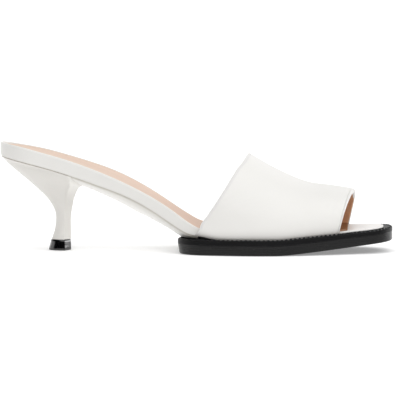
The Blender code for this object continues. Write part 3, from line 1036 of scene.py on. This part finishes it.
@dataclass(frozen=True)
class Sole:
    """Black forefoot: outsole, the welt on it and the stitches through the welt."""

    last: Last
    rear_radius: float = 10.0
    rear_skew: float = 6.0
    top_round: float = 0.04
    bottom_round: float = 0.8
    welt_round: float = 0.5
    undercut: float = 1.1
    undercut_run: float = 14.0
    seam: float = 0.02
    wall_rows: int = 9
    stitch_pitch: float = 2.8
    stitch_length: float = 1.75
    stitch_width: float = 0.85
    stitch_stand: float = 0.85
    stitch_inset: float = 1.15
    stitch_start: float = 14.0
    stitch_points: tuple[int, int] = (9, 8)
    stitch_end: float = 0.03
    stitch_dip: float = 0.12
    stitch_wrap: float = 0.35
    outer_row: Step = Step(-4.0, -22.0)
    rear_row: Step = Step(62.0, 46.0)
    inner_loss: float = 0.5
    rear_loss: float = 0.42

    @cached_property
    def plan(self) -> Plan:
        """Outline of the forefoot, inside the ledge that outsole and welt add."""
        last = self.last
        return Plan(last, last.sole_back + last.ledge, last.toe - last.toe_ledge - last.toe_bow,
                    self.rear_radius, last.toe_radius, along=240, across=49,
                    front_bow=last.toe_bow, back_skew=self.rear_skew)

    @cached_property
    def ledge(self) -> Array:
        """How far the layers stand out past the plan, at each of its points."""
        return self.last.ledge_at(self.plan.edge[:, 0])

    def layer(self, top: Height, bottom: Height, round_top: float, round_bottom: float) -> Shape:
        """Slab whose edges are quarter circles and whose wall is straight.

        Args:
            top: height of its upper face.
            bottom: height of its lower face.
            round_top: radius of the upper edge.
            round_bottom: radius of the lower edge.

        Returns:
            The slab's skin.
        """
        rings = self.plan.rounded(round_top, top, 6, self.ledge)
        for share in np.linspace(0, 1, self.wall_rows)[1:-1]:
            ring = self.plan.ring(self.ledge, top, round_top)
            low = bottom(*ring[:, :2].T) + round_bottom
            ring[:, 2] += (low - ring[:, 2]) * share
            rings.append(ring)
        rings += self.plan.rounded(round_bottom, bottom, 7, self.ledge, lower=True)
        return stack(rings, self.plan.along, self.plan.across, top, bottom)

    def stitches(self) -> Shape:
        """Row of stitches round the welt's top, from one end of the vamp to the other.

        Each stitch is a blunt half ellipsoid: its length follows the row, its height
        is the stand, less away from the lateral side and towards the back, and its
        ends dip into the welt. Its underside and its ends are closed in the welt.

        Returns:
            All stitches as one surface.
        """
        count = 2 * self.plan.along + self.plan.across - 2
        path = self.plan.loop(self.ledge - self.stitch_inset)[:count]
        run = running(np.linalg.norm(np.diff(path, axis=0), axis=1))
        where = np.arange(self.stitch_start, run[-1] - self.stitch_start, self.stitch_pitch)
        behind, centre, before = (
            np.column_stack([np.interp(where + step, run, column) for column in path.T])
            for step in (-0.5, 0.0, 0.5))
        ahead = unit(before - behind)
        aside = np.column_stack((ahead[:, 1], -ahead[:, 0]))
        lengthwise, roundwise = self.stitch_points
        half = roundwise // 2
        s = np.linspace(-1, 1, lengthwise)[:, None]
        a = np.linspace(-self.stitch_wrap, np.pi + self.stitch_wrap, roundwise)[None, :]
        body = np.sqrt(np.clip(1 - np.abs(s) ** 3.0, 0, 1)) + self.stitch_end
        u = (s * self.stitch_length / 2 + 0 * a).ravel()
        v = (body * np.cos(a) * self.stitch_width / 2).ravel()
        w = (body * np.sin(a) * self.stitch_stand - self.stitch_dip * s ** 2).ravel()
        flat = (centre[:, None] + ahead[:, None] * u[None, :, None]
                + aside[:, None] * v[None, :, None])
        outer = self.outer_row(centre[:, 1])
        loss = self.inner_loss * (1 - outer) + self.rear_loss * self.rear_row(centre[:, 0]) * outer
        height = self.last.welt_top(flat[..., 0]) + w[None, :] * (1 - loss)[:, None]
        points = np.concatenate((flat, height[..., None]), axis=2).reshape(-1, 3)
        index = grid_index(lengthwise, roundwise)
        caps = [grid_quads(np.stack((ring[:half], ring[:half - 1:-1])), flip)
                for ring, flip in ((index[0], True), (index[-1], False))]
        one = np.concatenate([grid_quads(np.column_stack((index, index[:, :1])))] + caps)
        first = index.size * np.arange(len(where))[:, None, None]
        return Shape(points, (one[None] + first).reshape(-1, 4))

    def build(self, shop: Workshop) -> None:
        """Make outsole, welt and stitches.

        The outsole's back leans in towards the floor, in proportion to the depth.

        Args:
            shop: where the pieces go.
        """
        last = self.last
        tread = self.layer(lambda x, y: last.outsole_top(x), lambda x, y: last.tread(x),
                           self.top_round, self.bottom_round)
        x, _, z = tread.points.T
        depth = last.outsole_top(x) - z
        near_back = 1 - ease(x, last.sole_back, last.sole_back + self.undercut_run)
        tread.points[:, 0] += self.undercut * near_back * depth / last.outsole
        shop.add("sole_block", tread, "outsole", "outsole", "outsole")
        strip = self.layer(lambda x, y: last.welt_top(x),
                           lambda x, y: last.outsole_top(x) + self.seam,
                           self.welt_round, self.top_round)
        shop.add("welt_strip", strip, "welt", "welt", "welt")
        shop.add("welt_stitches", self.stitches(), "thread", "welt")


# ---- footbed


@dataclass(frozen=True)
class Footbed:
    """Wrapped insole with its rim, and the leather sock that lies in it."""

    last: Last
    rim_round: float = 0.8
    low_round: float = 0.7
    fullness: float = 0.25
    wall_rows: int = 12
    recess_edge: tuple[tuple[float, float], ...] = ((0.08, 0.35), (0.22, 0.08), (0.42, 0.0))
    # Painted highlight on the rim's round, and painted light on the uncovered toe, which faces up.
    rim_highlight: Step = Step(1.3, 0.5, 0.35)
    toe_top_light: Step = Step(84.0, 92.0)
    roll: float = 0.45
    sock_radius: float = 3.0
    sock_skew: float = 2.4
    sock_play: float = 0.12
    # Darker near the sock's edge; painted shade under the vamp, deeper towards the toe.
    sock_edge: Step = Step(1.6, 0.0, 0.6)
    sock_shade: tuple[Curve, ...] = (Step(30.0, 80.0, 0.9), Step(84.0, 94.0, 0.1))

    @cached_property
    def plan(self) -> Plan:
        """Outline of the whole footbed."""
        last = self.last
        return Plan(last, last.back + last.seat_bow, last.toe - last.toe_ledge - last.toe_bow,
                    last.seat_radius, last.toe_radius, along=260, across=45, corner=30,
                    back_bow=last.seat_bow, front_bow=last.toe_bow)

    def wrap(self) -> Shape:
        """Board wrapped in leather.

        The edge of the recess rises to a soft rim, turns over a quarter circle into
        a wall that is a little full at half height, and tucks under at the bottom.

        Returns:
            The skin, marked with how deep each point lies in the seam below, for
            painted shade there, and with a painted highlight on the rim and painted
            light on the uncovered, upward-facing toe.
        """
        last, plan = self.last, self.plan
        x, y = plan.edge.T
        tall = last.rim(x, y) - last.under(x, y)
        upper = np.minimum(self.rim_round, 0.45 * tall)
        lower = np.minimum(self.low_round, 0.35 * tall)
        rings = [plan.ring(-last.sock_inset, last.seat)]
        rings += [plan.ring(out - last.sock_inset, last.rim, drop)
                  for out, drop in self.recess_edge]
        rings += plan.rounded(upper, last.rim, 7, start=0.1)
        top, low = plan.ring(0.0, last.rim, upper), plan.ring(0.0, last.under, -lower)
        full = self.fullness * np.minimum(tall / 9, 1)
        for t in np.linspace(0, 1, self.wall_rows)[1:-1]:
            ring = plan.ring(full * 4 * t * (1 - t), last.rim)
            ring[:, 2] = top[:, 2] * (1 - t) + low[:, 2] * t
            rings.append(ring)
        tucked = plan.rounded(lower, last.under, 6, lower=True)
        shape = stack(rings + tucked, plan.along, plan.across, last.seat, last.under)
        # Painted shade: darker the further the wall tucks under.
        depths = (np.arange(1, len(tucked) - 1) / (len(tucked) - 1)) ** 1.5
        face, count = plan.along * plan.across, len(plan.edge)
        above = len(shape.points) - face - count * len(depths)
        seam = np.concatenate((np.zeros(above), np.repeat(depths, count), np.ones(face)))
        x, y, z = shape.points.T
        # Painted highlight on the rim and painted light on the uncovered toe.
        bright = np.maximum(self.rim_highlight(last.rim(x, y) - z), self.toe_top_light(x))
        return shape._replace(marks={"seam": seam, "shade": bright})

    def sock(self) -> Shape:
        """Sock: a sheet on the footbed whose edge is pared thin and rolled down.

        Returns:
            The skin, marked with how near each point lies to the edge, where it is
            darker, and how far under the vamp, for painted shade there.
        """
        last = self.last
        plan = replace(self.plan, front=last.sock_front, front_radius=self.sock_radius,
                       front_bow=0.0, front_skew=self.sock_skew)

        def face(x: Array, y: Array) -> Array:
            """Upper face of the sock."""
            return last.seat(x, y) + last.gap * 0.4 + last.sock

        base = -last.sock_inset - self.sock_play
        rings = plan.rounded(self.roll, face, 6, base) + [plan.ring(base, face, last.sock)]
        shape = stack(rings, plan.along, plan.across, face,
                      lambda x, y: face(x, y) - last.sock)
        x, y, _ = shape.points.T
        share = last.share(x, y)
        side = np.minimum(share, 1 - share) * (last.medial(x) - last.lateral(x)) - last.sock_inset
        # Darker near the edge; painted shade under the vamp.
        return shape._replace(marks={"seam": self.sock_edge(side),
                                     "shade": sum(shade(x) for shade in self.sock_shade)})

    def build(self, shop: Workshop) -> None:
        """Make the wrapped footbed and the sock."""
        shop.add("footbed_wrap", self.wrap(), "wrap", "footbed", "footbed")
        shop.add("sock_leather", self.sock(), "sock", "insole_sock", "insole_sock")


@dataclass(frozen=True)
class WaistCover:
    """Convex leather cover under the arch, from the heel's breast onto the welt."""

    last: Last
    front: float = 1.0
    inset: float = 0.55
    edge: float = 0.8
    deep: float = 4.6
    swell: tuple[Curve, ...] = (Step(-70.0, -50.0, 1.6), Step(-28.0, -14.0, -1.1),
                                Bell(-38.0, 9.5, 1.4))
    landing: Step = Step(-17.8, -12.0)
    # Painted shade in the side seams and at the front end.
    side_seam_shade: Step = Step(0.05, 0.0)
    front_end_shade: Step = Step(-9.0, -2.0)
    along: int = 150
    across: int = 49

    def shape(self) -> Shape:
        """Cover as two grids: the top follows the footbed, the bottom bulges.

        The bulge is a depth times one less the share across to the power 2.2, and
        is held above the welt where it runs out on it.

        Returns:
            The skin, marked with how near each point lies to the side edges and how
            far up the side.
        """
        last = self.last
        side = np.linspace(-1, 1, self.across)[None, :]
        run = np.linspace(0, 1, self.along)[:, None]
        start = last.breast + 0.4 - last.breast_sweep * side ** 2
        x = start + (self.front - start) * run
        low, high = last.lateral(x) + self.inset, last.medial(x) - self.inset
        y = low + (high - low) * (side + 1) / 2
        depth = self.deep + sum(curve(x) for curve in self.swell)
        top = last.under(x, y) - 0.06
        rim = np.clip((1 - np.abs(side)) / 0.03, 0, 1)
        bottom = top - self.edge * np.sqrt(rim) - depth * (1 - np.abs(side) ** 2.2)
        floor = (last.welt_top(x) + 0.4) * self.landing(x)
        bottom = np.minimum(np.maximum(bottom, floor), top - 0.05)
        points = np.stack([(x, y, top), (x, y, bottom)])
        # Painted shade: in the seams along the sides and at the front end, and deepening towards
        # the sides.
        seam = np.maximum(self.side_seam_shade(1 - np.abs(side)), self.front_end_shade(x))
        shade = np.abs(side) ** 2.4 + 0 * x
        return Shape(np.moveaxis(points, 1, -1).reshape(-1, 3),
                     skin_quads(self.along, self.across, 0),
                     {"seam": np.tile(seam.ravel(), 2), "shade": np.tile(shade.ravel(), 2)})

    def build(self, shop: Workshop) -> None:
        """Make the cover."""
        shop.add("waist_leather", self.shape(), "waist", "waist_cover", "waist_cover")


# ---- heel


@dataclass(frozen=True)
class Heel:
    """Curved stem heel with its leather cover, and the black top piece below it."""

    last: Last
    centre: float = 4.0
    turn: float = math.radians(-5.0)
    slim: float = 6.5
    full: float = 25.0
    seat_edge: tuple[tuple[float, float], ...] = ((0.4, 0.08), (0.12, 0.2), (0.0, 0.5))
    # Painted light on the breast facet and the stem's foot; painted shade along the seat seam.
    breast_top_light: Step = Step(31.0, 42.0, 0.7)
    foot_light: Step = Step(36.0, 20.0, 0.3)
    seat_seam_shade: Step = Step(0.7, 0.1)
    seat_inset: float = 0.45
    along: int = 64
    across: int = 33
    levels: int = 110

    def loop(self, row: HeelRow, turn: float) -> Array:
        """Plan of one ring: a round back, two corners and a ridged breast.

        The back is a superellipse of the row's squareness from the corners round;
        the breast is a power curve of the share across.

        Args:
            row: sizes of the ring.
            turn: rotation in plan, in radians.

        Returns:
            Points in plan, in a plan's loop order.
        """
        skip = (self.across - 1) // 2
        angle = np.linspace(0, np.pi / 2, self.along + skip)
        power = 2 / row.squareness
        depth = (row.corner - row.back) * np.cos(angle) ** power
        half = np.column_stack((row.corner - depth, -row.half_width * np.sin(angle) ** power))
        other = half * (1, -1)
        side = np.linspace(-1, 1, self.across)[1:-1]
        bend = np.abs(side) ** (0.65 + 0.06 * row.half_width)
        front = np.column_stack((row.breast - (row.breast - row.corner) * bend,
                                 side * row.half_width))
        back = np.concatenate((other[1:skip][::-1], half[:1], half[1:skip]))
        loop = np.concatenate((half[skip:], front, other[skip:][::-1], back))
        spin = np.array(((math.cos(turn), math.sin(turn)), (-math.sin(turn), math.cos(turn))))
        pivot = np.array((row.corner, 0.0))
        return (loop - pivot) @ spin + pivot + (0, self.centre)

    def ring(self, row: HeelRow) -> Array:
        """Ring with heights: they go from back to breast with the square of the share."""
        fade = (row.half_width - self.slim) / (self.full - self.slim)
        flat = self.loop(row, self.turn * (1 - fade))
        t = np.clip((flat[:, 0] - row.back) / (row.breast - row.back), 0, 1)
        return np.column_stack((flat, row.back_z + (row.breast_z - row.back_z) * t ** 2))

    def seat_ring(self, trim: float, drop: float) -> Array:
        """Top edge of the heel: the footbed's own outline, closed by the breast line.

        Args:
            trim: how far it lies inside the heel's own edge.
            drop: how far it lies below the footbed.

        Returns:
            The ring's points.
        """
        last = self.last
        inset = self.seat_inset + trim
        corner, back = last.breast - last.breast_sweep, last.back + last.seat_bow
        sweep = np.cos(np.linspace(0, np.pi / 2, self.along)) ** 0.9
        x = corner - (corner - back - inset) * sweep
        cut = corner_cut(x - back - inset, last.seat_radius) + inset
        lateral = np.column_stack((x, last.lateral(x) + cut))
        medial = np.column_stack((x, last.medial(x) - cut))
        side = np.linspace(-1, 1, self.across)[1:-1]
        t = ((side + 1) / 2)[:, None]
        front = lateral[-1] * (1 - t) + medial[-1] * t
        front[:, 0] = last.breast - trim - last.breast_sweep * side ** 2
        rear = lateral[0] * (1 - t) + medial[0] * t
        rear[:, 0] -= last.seat_bow * (1 - side ** 2)
        flat = round_loop(lateral, front, medial, rear)
        return np.column_stack((flat, last.under(*flat.T) - drop))

    def skin(self, rings: Sequence[Array]) -> Array:
        """Smooth surface through a few drawn rings.

        Each point of a ring follows a cubic spline from ring to ring, spaced by the
        mean distance between them.

        Args:
            rings: drawn rings with equal numbers of points.

        Returns:
            The rings, as many as there are levels, by points by 3.
        """
        drawn = np.stack(rings)
        run = running(np.linalg.norm(np.diff(drawn, axis=0), axis=2).mean(axis=1))
        return Spline(run, drawn)(np.linspace(0, run[-1], self.levels))

    def cover(self) -> Shape:
        """Leather-covered stem, flaring to the seat.

        Returns:
            The skin, marked with how near each point lies to the seat seam, for
            painted shade there, and with painted light on the breast and the foot.
        """
        *edge, top = (self.seat_ring(trim, drop) for trim, drop in self.seat_edge)
        fine = list(self.skin([self.ring(row) for row in HEEL] + [top]))[::-1]
        base = HEEL[0].back_z
        shape = stack(edge + fine, self.along, self.across,
                      lambda x, y: self.last.under(x, y) - self.seat_edge[0][1],
                      lambda x, y: np.full_like(x, base))
        x, y, z = shape.points.T
        drop = self.last.under(x, y) - z
        corner = np.interp(z, [row.breast_z for row in HEEL], [row.corner for row in HEEL])
        breast = ease(x, corner - 0.6, corner + 0.8)
        # Painted light on the breast and foot; painted shade along the seat seam, left off the
        # breast.
        bright = np.maximum(breast * (0.3 + self.breast_top_light(z)), self.foot_light(z))
        return shape._replace(marks={"seam": self.seat_seam_shade(drop) * (1 - breast),
                                     "shade": bright})

    def top_piece(self) -> Shape:
        """Black top piece: its rings flare a little and round over at both faces.

        Returns:
            The skin.
        """
        rings = []
        for row in TOP_PIECE:
            flat = self.loop(row, self.turn)
            rings.append(np.column_stack((flat, np.full(len(flat), row.back_z))))
        return stack(rings, self.along, self.across,
                     lambda x, y: np.full_like(x, TOP_PIECE[0].back_z),
                     lambda x, y: np.zeros_like(x))

    def build(self, shop: Workshop) -> None:
        """Make the covered heel and its top piece."""
        shop.add("heel_cover", self.cover(), "heel", "heel", "heel")
        shop.add("heel_top_piece", self.top_piece(), "top_piece", "heel_tip", "heel_tip")


# ---- vamp


@dataclass(frozen=True)
class EdgeLine:
    """Free edge of the vamp: a slope in Z and Y, a square term and a few bends."""

    start: tuple[float, float, float]
    lean: float
    skew: float
    curl: float = 0.0
    bends: tuple[Curve, ...] = ()

    def __call__(self, point: Array) -> Array:
        """X of the edge at the height and on the side of each point."""
        x, y, z = self.start
        rise = point[..., 2] - z
        line = x + self.lean * rise + self.curl * rise ** 2 + self.skew * (point[..., 1] - y)
        return line + sum(bend(rise) for bend in self.bends)


@dataclass(frozen=True)
class Vamp:
    """Upper: one band of white leather over the foot, and its brown lining."""

    last: Last
    wall: float = 1.8
    white: float = 1.45
    glue: float = 0.03
    suede: float = 0.5
    lining_insets: tuple[float, float] = (1.1, 0.9)
    pared: float = 0.6
    turn_in: float = 0.30
    widest: float = 6.0
    bulge: float = 1.3
    tuck: float = 2.5
    bead: float = 1.7
    along: int = 96
    around: int = 240
    turned: int = 11
    halvings: int = 60
    close_rows: tuple[float, ...] = (1.5, 1.75, 2.0, 2.3, 2.7, 3.2)
    topline: EdgeLine = EdgeLine((0.3, -37.5, 14.4), 0.72, 0.07, -0.0019, (
        Step(2.0, 9.0, -1.15), Step(38.0, 44.0, 1.15), Bell(4.8, 2.6, -0.9)))
    toe_line: EdgeLine = EdgeLine((89.35, -31.0, 14.6), 0.235, 0.137)
    raised: Step = Step(16.0, -5.0, 3.0)
    near_side: Step = Step(160.0, 110.0)
    fold_fade: Bell = Bell(0.5, 0.42)
    crease: Bell = Bell(2.1, 0.5, 0.1)
    # Painted shade in the crease inside the folded back and toe edges, and fading up from the
    # welt.
    back_fold_shade: Bell = Bell(1.2, 0.65)
    toe_fold_shade: Bell = Bell(0.9, 0.5, 0.5)
    seam_shade: float = 0.58
    seam_reach: float = 2.4
    seam_growth: Step = Step(0.0, 50.0, 1.5)

    @cached_property
    def columns(self) -> dict[str, Spline]:
        """Splines through the columns of the instep's table."""
        return splines(INSTEP)

    def surface(self, x: Array, angle: Array) -> Array:
        """Point of the outer face at x, at an angle round the foot.

        A superellipse of the row's fullness stands on the widest level; below that
        level the leather turns in to the feather edge on a quarter ellipse.

        Args:
            x: station along the shoe.
            angle: 0 at the lateral widest level, pi at the medial one.

        Returns:
            Points, with a last axis of 3.
        """
        last = self.last
        foot = last.welt_top(x) + last.gap * 0.3 + self.raised(x)
        slope = 1 + ((last.lateral(x + 1) - last.lateral(x - 1)) / 2) ** 2
        stand = (self.wall + last.gap + self.bulge) * np.sqrt(slope)
        low, high = last.lateral(x) - stand, last.medial(x) + stand
        centre, reach = (low + high) / 2, (high - low) / 2
        level = last.welt_top(x) + last.gap + self.widest
        power = 2 / self.columns["fullness"](x)
        c, s = np.cos(angle), np.sin(angle)
        up = np.maximum(s, 0) ** power
        tuck = np.clip(-s / np.sin(self.turn_in), 0, 1)
        pull = self.tuck * (1 - np.sqrt(1 - tuck ** 2 * 0.98))
        across = np.where(s < 0, np.sign(c) * (1 - pull / reach), np.sign(c) * np.abs(c) ** power)
        y = centre - across * reach + self.columns["skew"](x) * up ** 2
        z = np.where(s < 0, level + (foot - level) * tuck,
                     level + (self.columns["ridge"](x) - level) * up)
        return np.stack((np.broadcast_to(x, y.shape), y, z), axis=-1)

    def settle(self, line: Callable[[Array], Array], angle: Array, start: float) -> Array:
        """X at which each line of the surface meets an edge, by repeated halving."""
        x = np.full_like(angle, start)
        for _ in range(self.halvings):
            x = 0.5 * x + 0.5 * line(self.surface(x, angle))
        return x

    def folds(self, x: Array, angle: Array) -> Array:
        """Depth of the soft troughs and ridges at each point.

        Each fold is a bell across its middle line, which runs straight from its low
        to its high angle, times a bell along it that fades before both ends.

        Args:
            x: station of each point.
            angle: angle of each point.

        Returns:
            Depth below the smooth surface, in millimetres.
        """
        degrees = np.degrees(angle)
        total = np.zeros(np.broadcast(x, angle).shape)
        for fold in FOLDS:
            t = (degrees - fold.low_angle) / (fold.high_angle - fold.low_angle)
            line = fold.low_x + (fold.high_x - fold.low_x) * t
            total += fold.depth * hump(x, line, fold.width) * self.fold_fade(t)
        return total

    def layer(self, out: float, thick: float, insets: tuple[float, float],
              bead: float = 0.0) -> Shape:
        """Closed band of even thickness with half-round back and front edges.

        Args:
            out: depth of its outer face below the vamp's outer face.
            thick: its thickness.
            insets: how far its edges lie inside the topline and inside the toe line.
            bead: what the fold along the toe line adds to the thickness.

        Returns:
            The skin, marked with how near each point lies to the feather edge, for
            painted shade there, and to a folded edge, for painted shade in its crease.
        """
        turned = np.linspace(-self.turn_in, 0, self.turned, endpoint=False)
        over = np.linspace(0, np.pi, self.around - 2 * self.turned)
        angle = np.concatenate((turned, over, np.pi - turned[::-1]))
        back = self.settle(self.topline, angle, 20.0) + insets[0]
        near_side = self.near_side(np.degrees(angle))
        front = self.settle(self.toe_line, angle, 95.0) - insets[1] * (0.15 + 0.85 * near_side)
        bead = bead * near_side
        radius, blunt = thick / 2, (thick + bead) / 2
        below = np.clip(-np.sin(angle) / np.sin(self.turn_in), 0, 1)
        thinner = (1 - self.pared * below ** 2)[None, :, None]
        round_over = 1 - np.cos(np.linspace(0, np.pi / 2, 8))
        beyond = np.broadcast_to(self.close_rows, (len(angle), len(self.close_rows)))
        near = np.column_stack((np.tile(radius * round_over, (len(angle), 1)), beyond))
        far = np.column_stack((blunt[:, None] * round_over, beyond))
        middle = np.linspace(0, 1, self.along)[None, 1:-1]
        span = (front - back)[:, None]
        clear = span - near[:, -1:] - far[:, -1:]
        distance = np.column_stack((near, near[:, -1:] + clear * middle, span - far[:, ::-1])).T
        x = back[None, :] + distance
        turn = np.broadcast_to(angle, x.shape)
        face = self.surface(x, turn)
        normal = unit(np.cross(np.gradient(face, axis=0), np.gradient(face, axis=1)))
        normal *= np.sign(normal[len(x) // 2, len(angle) // 2, 2])
        to_edge = np.minimum(distance, span.T - distance)
        crease = self.crease(to_edge) if out == 0 else 0.0
        face = face - normal * (self.folds(x, turn) + out + crease)[..., None]
        to_front = span.T - distance
        size = np.where(to_front < distance, blunt, radius)
        inside = np.clip(size - to_edge, 0, size)
        shy = (size - np.sqrt(size ** 2 - inside ** 2))[..., None]
        total = (thick + bead * (1 - ease(to_front, blunt, blunt + 0.5)))[..., None]
        outer, inner = face - normal * shy * thinner, face - normal * (total - shy) * thinner
        for end in (0, -1):
            inner[:, end, 2] = outer[:, end, 2]
        rows = len(x)
        loop = np.concatenate((outer, inner[-2:0:-1]))
        index = grid_index(len(loop), len(angle))
        band = np.concatenate((index, index[:1]))
        quads = [grid_quads(band)]
        for end, flip in ((0, True), (-1, False)):
            there = index[:rows, end]
            under = np.concatenate((there[:1], index[rows:, end][::-1]))
            quads.append(grid_quads(np.stack((there[1:], under)), flip))
        shape = facing_out(Shape(loop.reshape(-1, 3), np.concatenate(quads)))
        x, _, z = shape.points.T
        # Painted shade: fading up from the welt, and in the crease inside the folded edges.
        above = np.maximum(z - self.last.welt_top(x) - self.raised(x), 0.0)
        reach = self.seam_reach + self.seam_growth(x)
        seam = self.seam_shade * np.exp(-(above / reach) ** 1.6)
        fold = self.back_fold_shade(distance) + self.toe_fold_shade(to_front)
        return shape._replace(marks={
            "seam": seam, "shade": np.concatenate((fold, fold[-2:0:-1])).ravel()})

    def build(self, shop: Workshop) -> None:
        """Make the white band and the lining inside it."""
        white = self.layer(0.0, self.white, (0.0, 0.0), self.bead)
        shop.add("vamp_leather", white, "vamp", "upper", "upper")
        lining = self.layer(self.white + self.glue, self.suede, self.lining_insets)
        shop.add("vamp_lining", lining, "lining", "upper")


# ---- studio


def looking(towards: Sequence[float]) -> Euler:
    """Rotation of a lamp or camera that points in a direction."""
    return Vector(towards).to_track_quat("-Z", "Y").to_euler()


class Softbox(NamedTuple):
    """Round bright patch of the surroundings: direction, cosine of its edge, strength."""

    x: float
    y: float
    z: float
    edge: float
    strength: float


@dataclass(frozen=True)
class Studio:
    """White floor, soft light from behind, above and the sides, and the camera."""

    camera_at: tuple[float, float, float] = (0.0022, -2.2, 0.2)
    aim: tuple[float, float, float] = (0.0022, 0.0, 0.0316)
    lens: float = 316.0
    sensor: float = 36.0
    far: float = 200.0
    back: float = 1.35
    left_loss: float = 0.2
    softboxes: tuple[Softbox, ...] = (Softbox(0.80, 0.60, 0.0, 0.94, 1.35),
                                      Softbox(0.90, 0.43, 0.06, 0.97, 4.2),
                                      Softbox(-0.80, 0.60, 0.0, 0.94, 1.3),
                                      Softbox(-0.99, 0.05, 0.10, 0.95, 1.5))
    key: float = 2.9
    key_spread: float = 90.0
    key_towards: tuple[float, float, float] = (-0.2, 0.55, -1.0)
    floor_glow: float = 0.27
    floor_half: float = 30000.0
    floor_z: float = -0.15

    def floor(self) -> None:
        """Flat white floor that glows a little, like a lit table."""
        x, y = self.floor_half * np.array(((-1, 1, 1, -1), (-1, -1, 1, 1)))
        points = np.column_stack((x, y, np.full(4, self.floor_z)))
        paint = Board.material("studio_floor").finish(
            {"Base Color": grey(0.88), "Roughness": 0.9, "Specular IOR Level": 0.0,
             "Emission Color": grey(1.0), "Emission Strength": self.floor_glow})
        floor = make_object("studio_floor", Shape(points, np.arange(4)[None]), paint)

    def sky_light(self) -> None:
        """White wall behind that fades to dark in front, with softboxes at both sides."""
        world = bpy.data.worlds.new("studio_walls")
        board = Board(world, "Background")
        where = board.node("ShaderNodeTexCoord").outputs["Generated"]
        parts = board.node("ShaderNodeSeparateXYZ", None, {0: where}).outputs
        x, y, z = (Signal(board, socket) for socket in parts)
        light = (self.back * y.clipped() - self.left_loss * (x * -1.0).clipped()).clipped()
        for box in self.softboxes:
            near = x * box.x + y * box.y + z * box.z - box.edge
            light = light + box.strength * (near / (1.0 - box.edge)).clipped() ** 0.5
        board.finish({"Color": grey(1.0), "Strength": light})
        bpy.context.scene.world = world

    def key_light(self) -> None:
        """Distant soft light from the front, above and the toe's side."""
        light = bpy.data.lights.new("key_light", "SUN")
        light.energy = self.key
        light.angle = math.radians(self.key_spread)
        lamp = link("key_light", light)
        lamp.rotation_euler = looking(self.key_towards)

    def camera(self) -> None:
        """Long lens from the outer side, looking a little down."""
        data = bpy.data.cameras.new("camera")
        data.lens, data.sensor_width, data.clip_end = self.lens, self.sensor, self.far
        eye = link("camera", data)
        eye.location = self.camera_at
        eye.rotation_euler = looking(Vector(self.aim) - Vector(self.camera_at))
        bpy.context.scene.camera = eye

    def build(self) -> None:
        """Set up floor, lights, camera and a plain view of colours."""
        self.floor()
        self.sky_light()
        self.key_light()
        self.camera()
        view = bpy.context.scene.view_settings
        view.view_transform, view.look = "Standard", "None"
        view.exposure, view.gamma = 0.0, 1.0


# ---- all of it


def main() -> None:
    """Build every piece, then the studio."""
    logging.basicConfig(level=logging.INFO, format="%(name)s: %(message)s")
    last = Last()
    shop = Workshop()
    for assembly in (Sole(last), Footbed(last), WaistCover(last), Heel(last), Vamp(last)):
        assembly.build(shop)
    Studio().build()


if __name__ == "__main__":
    main()
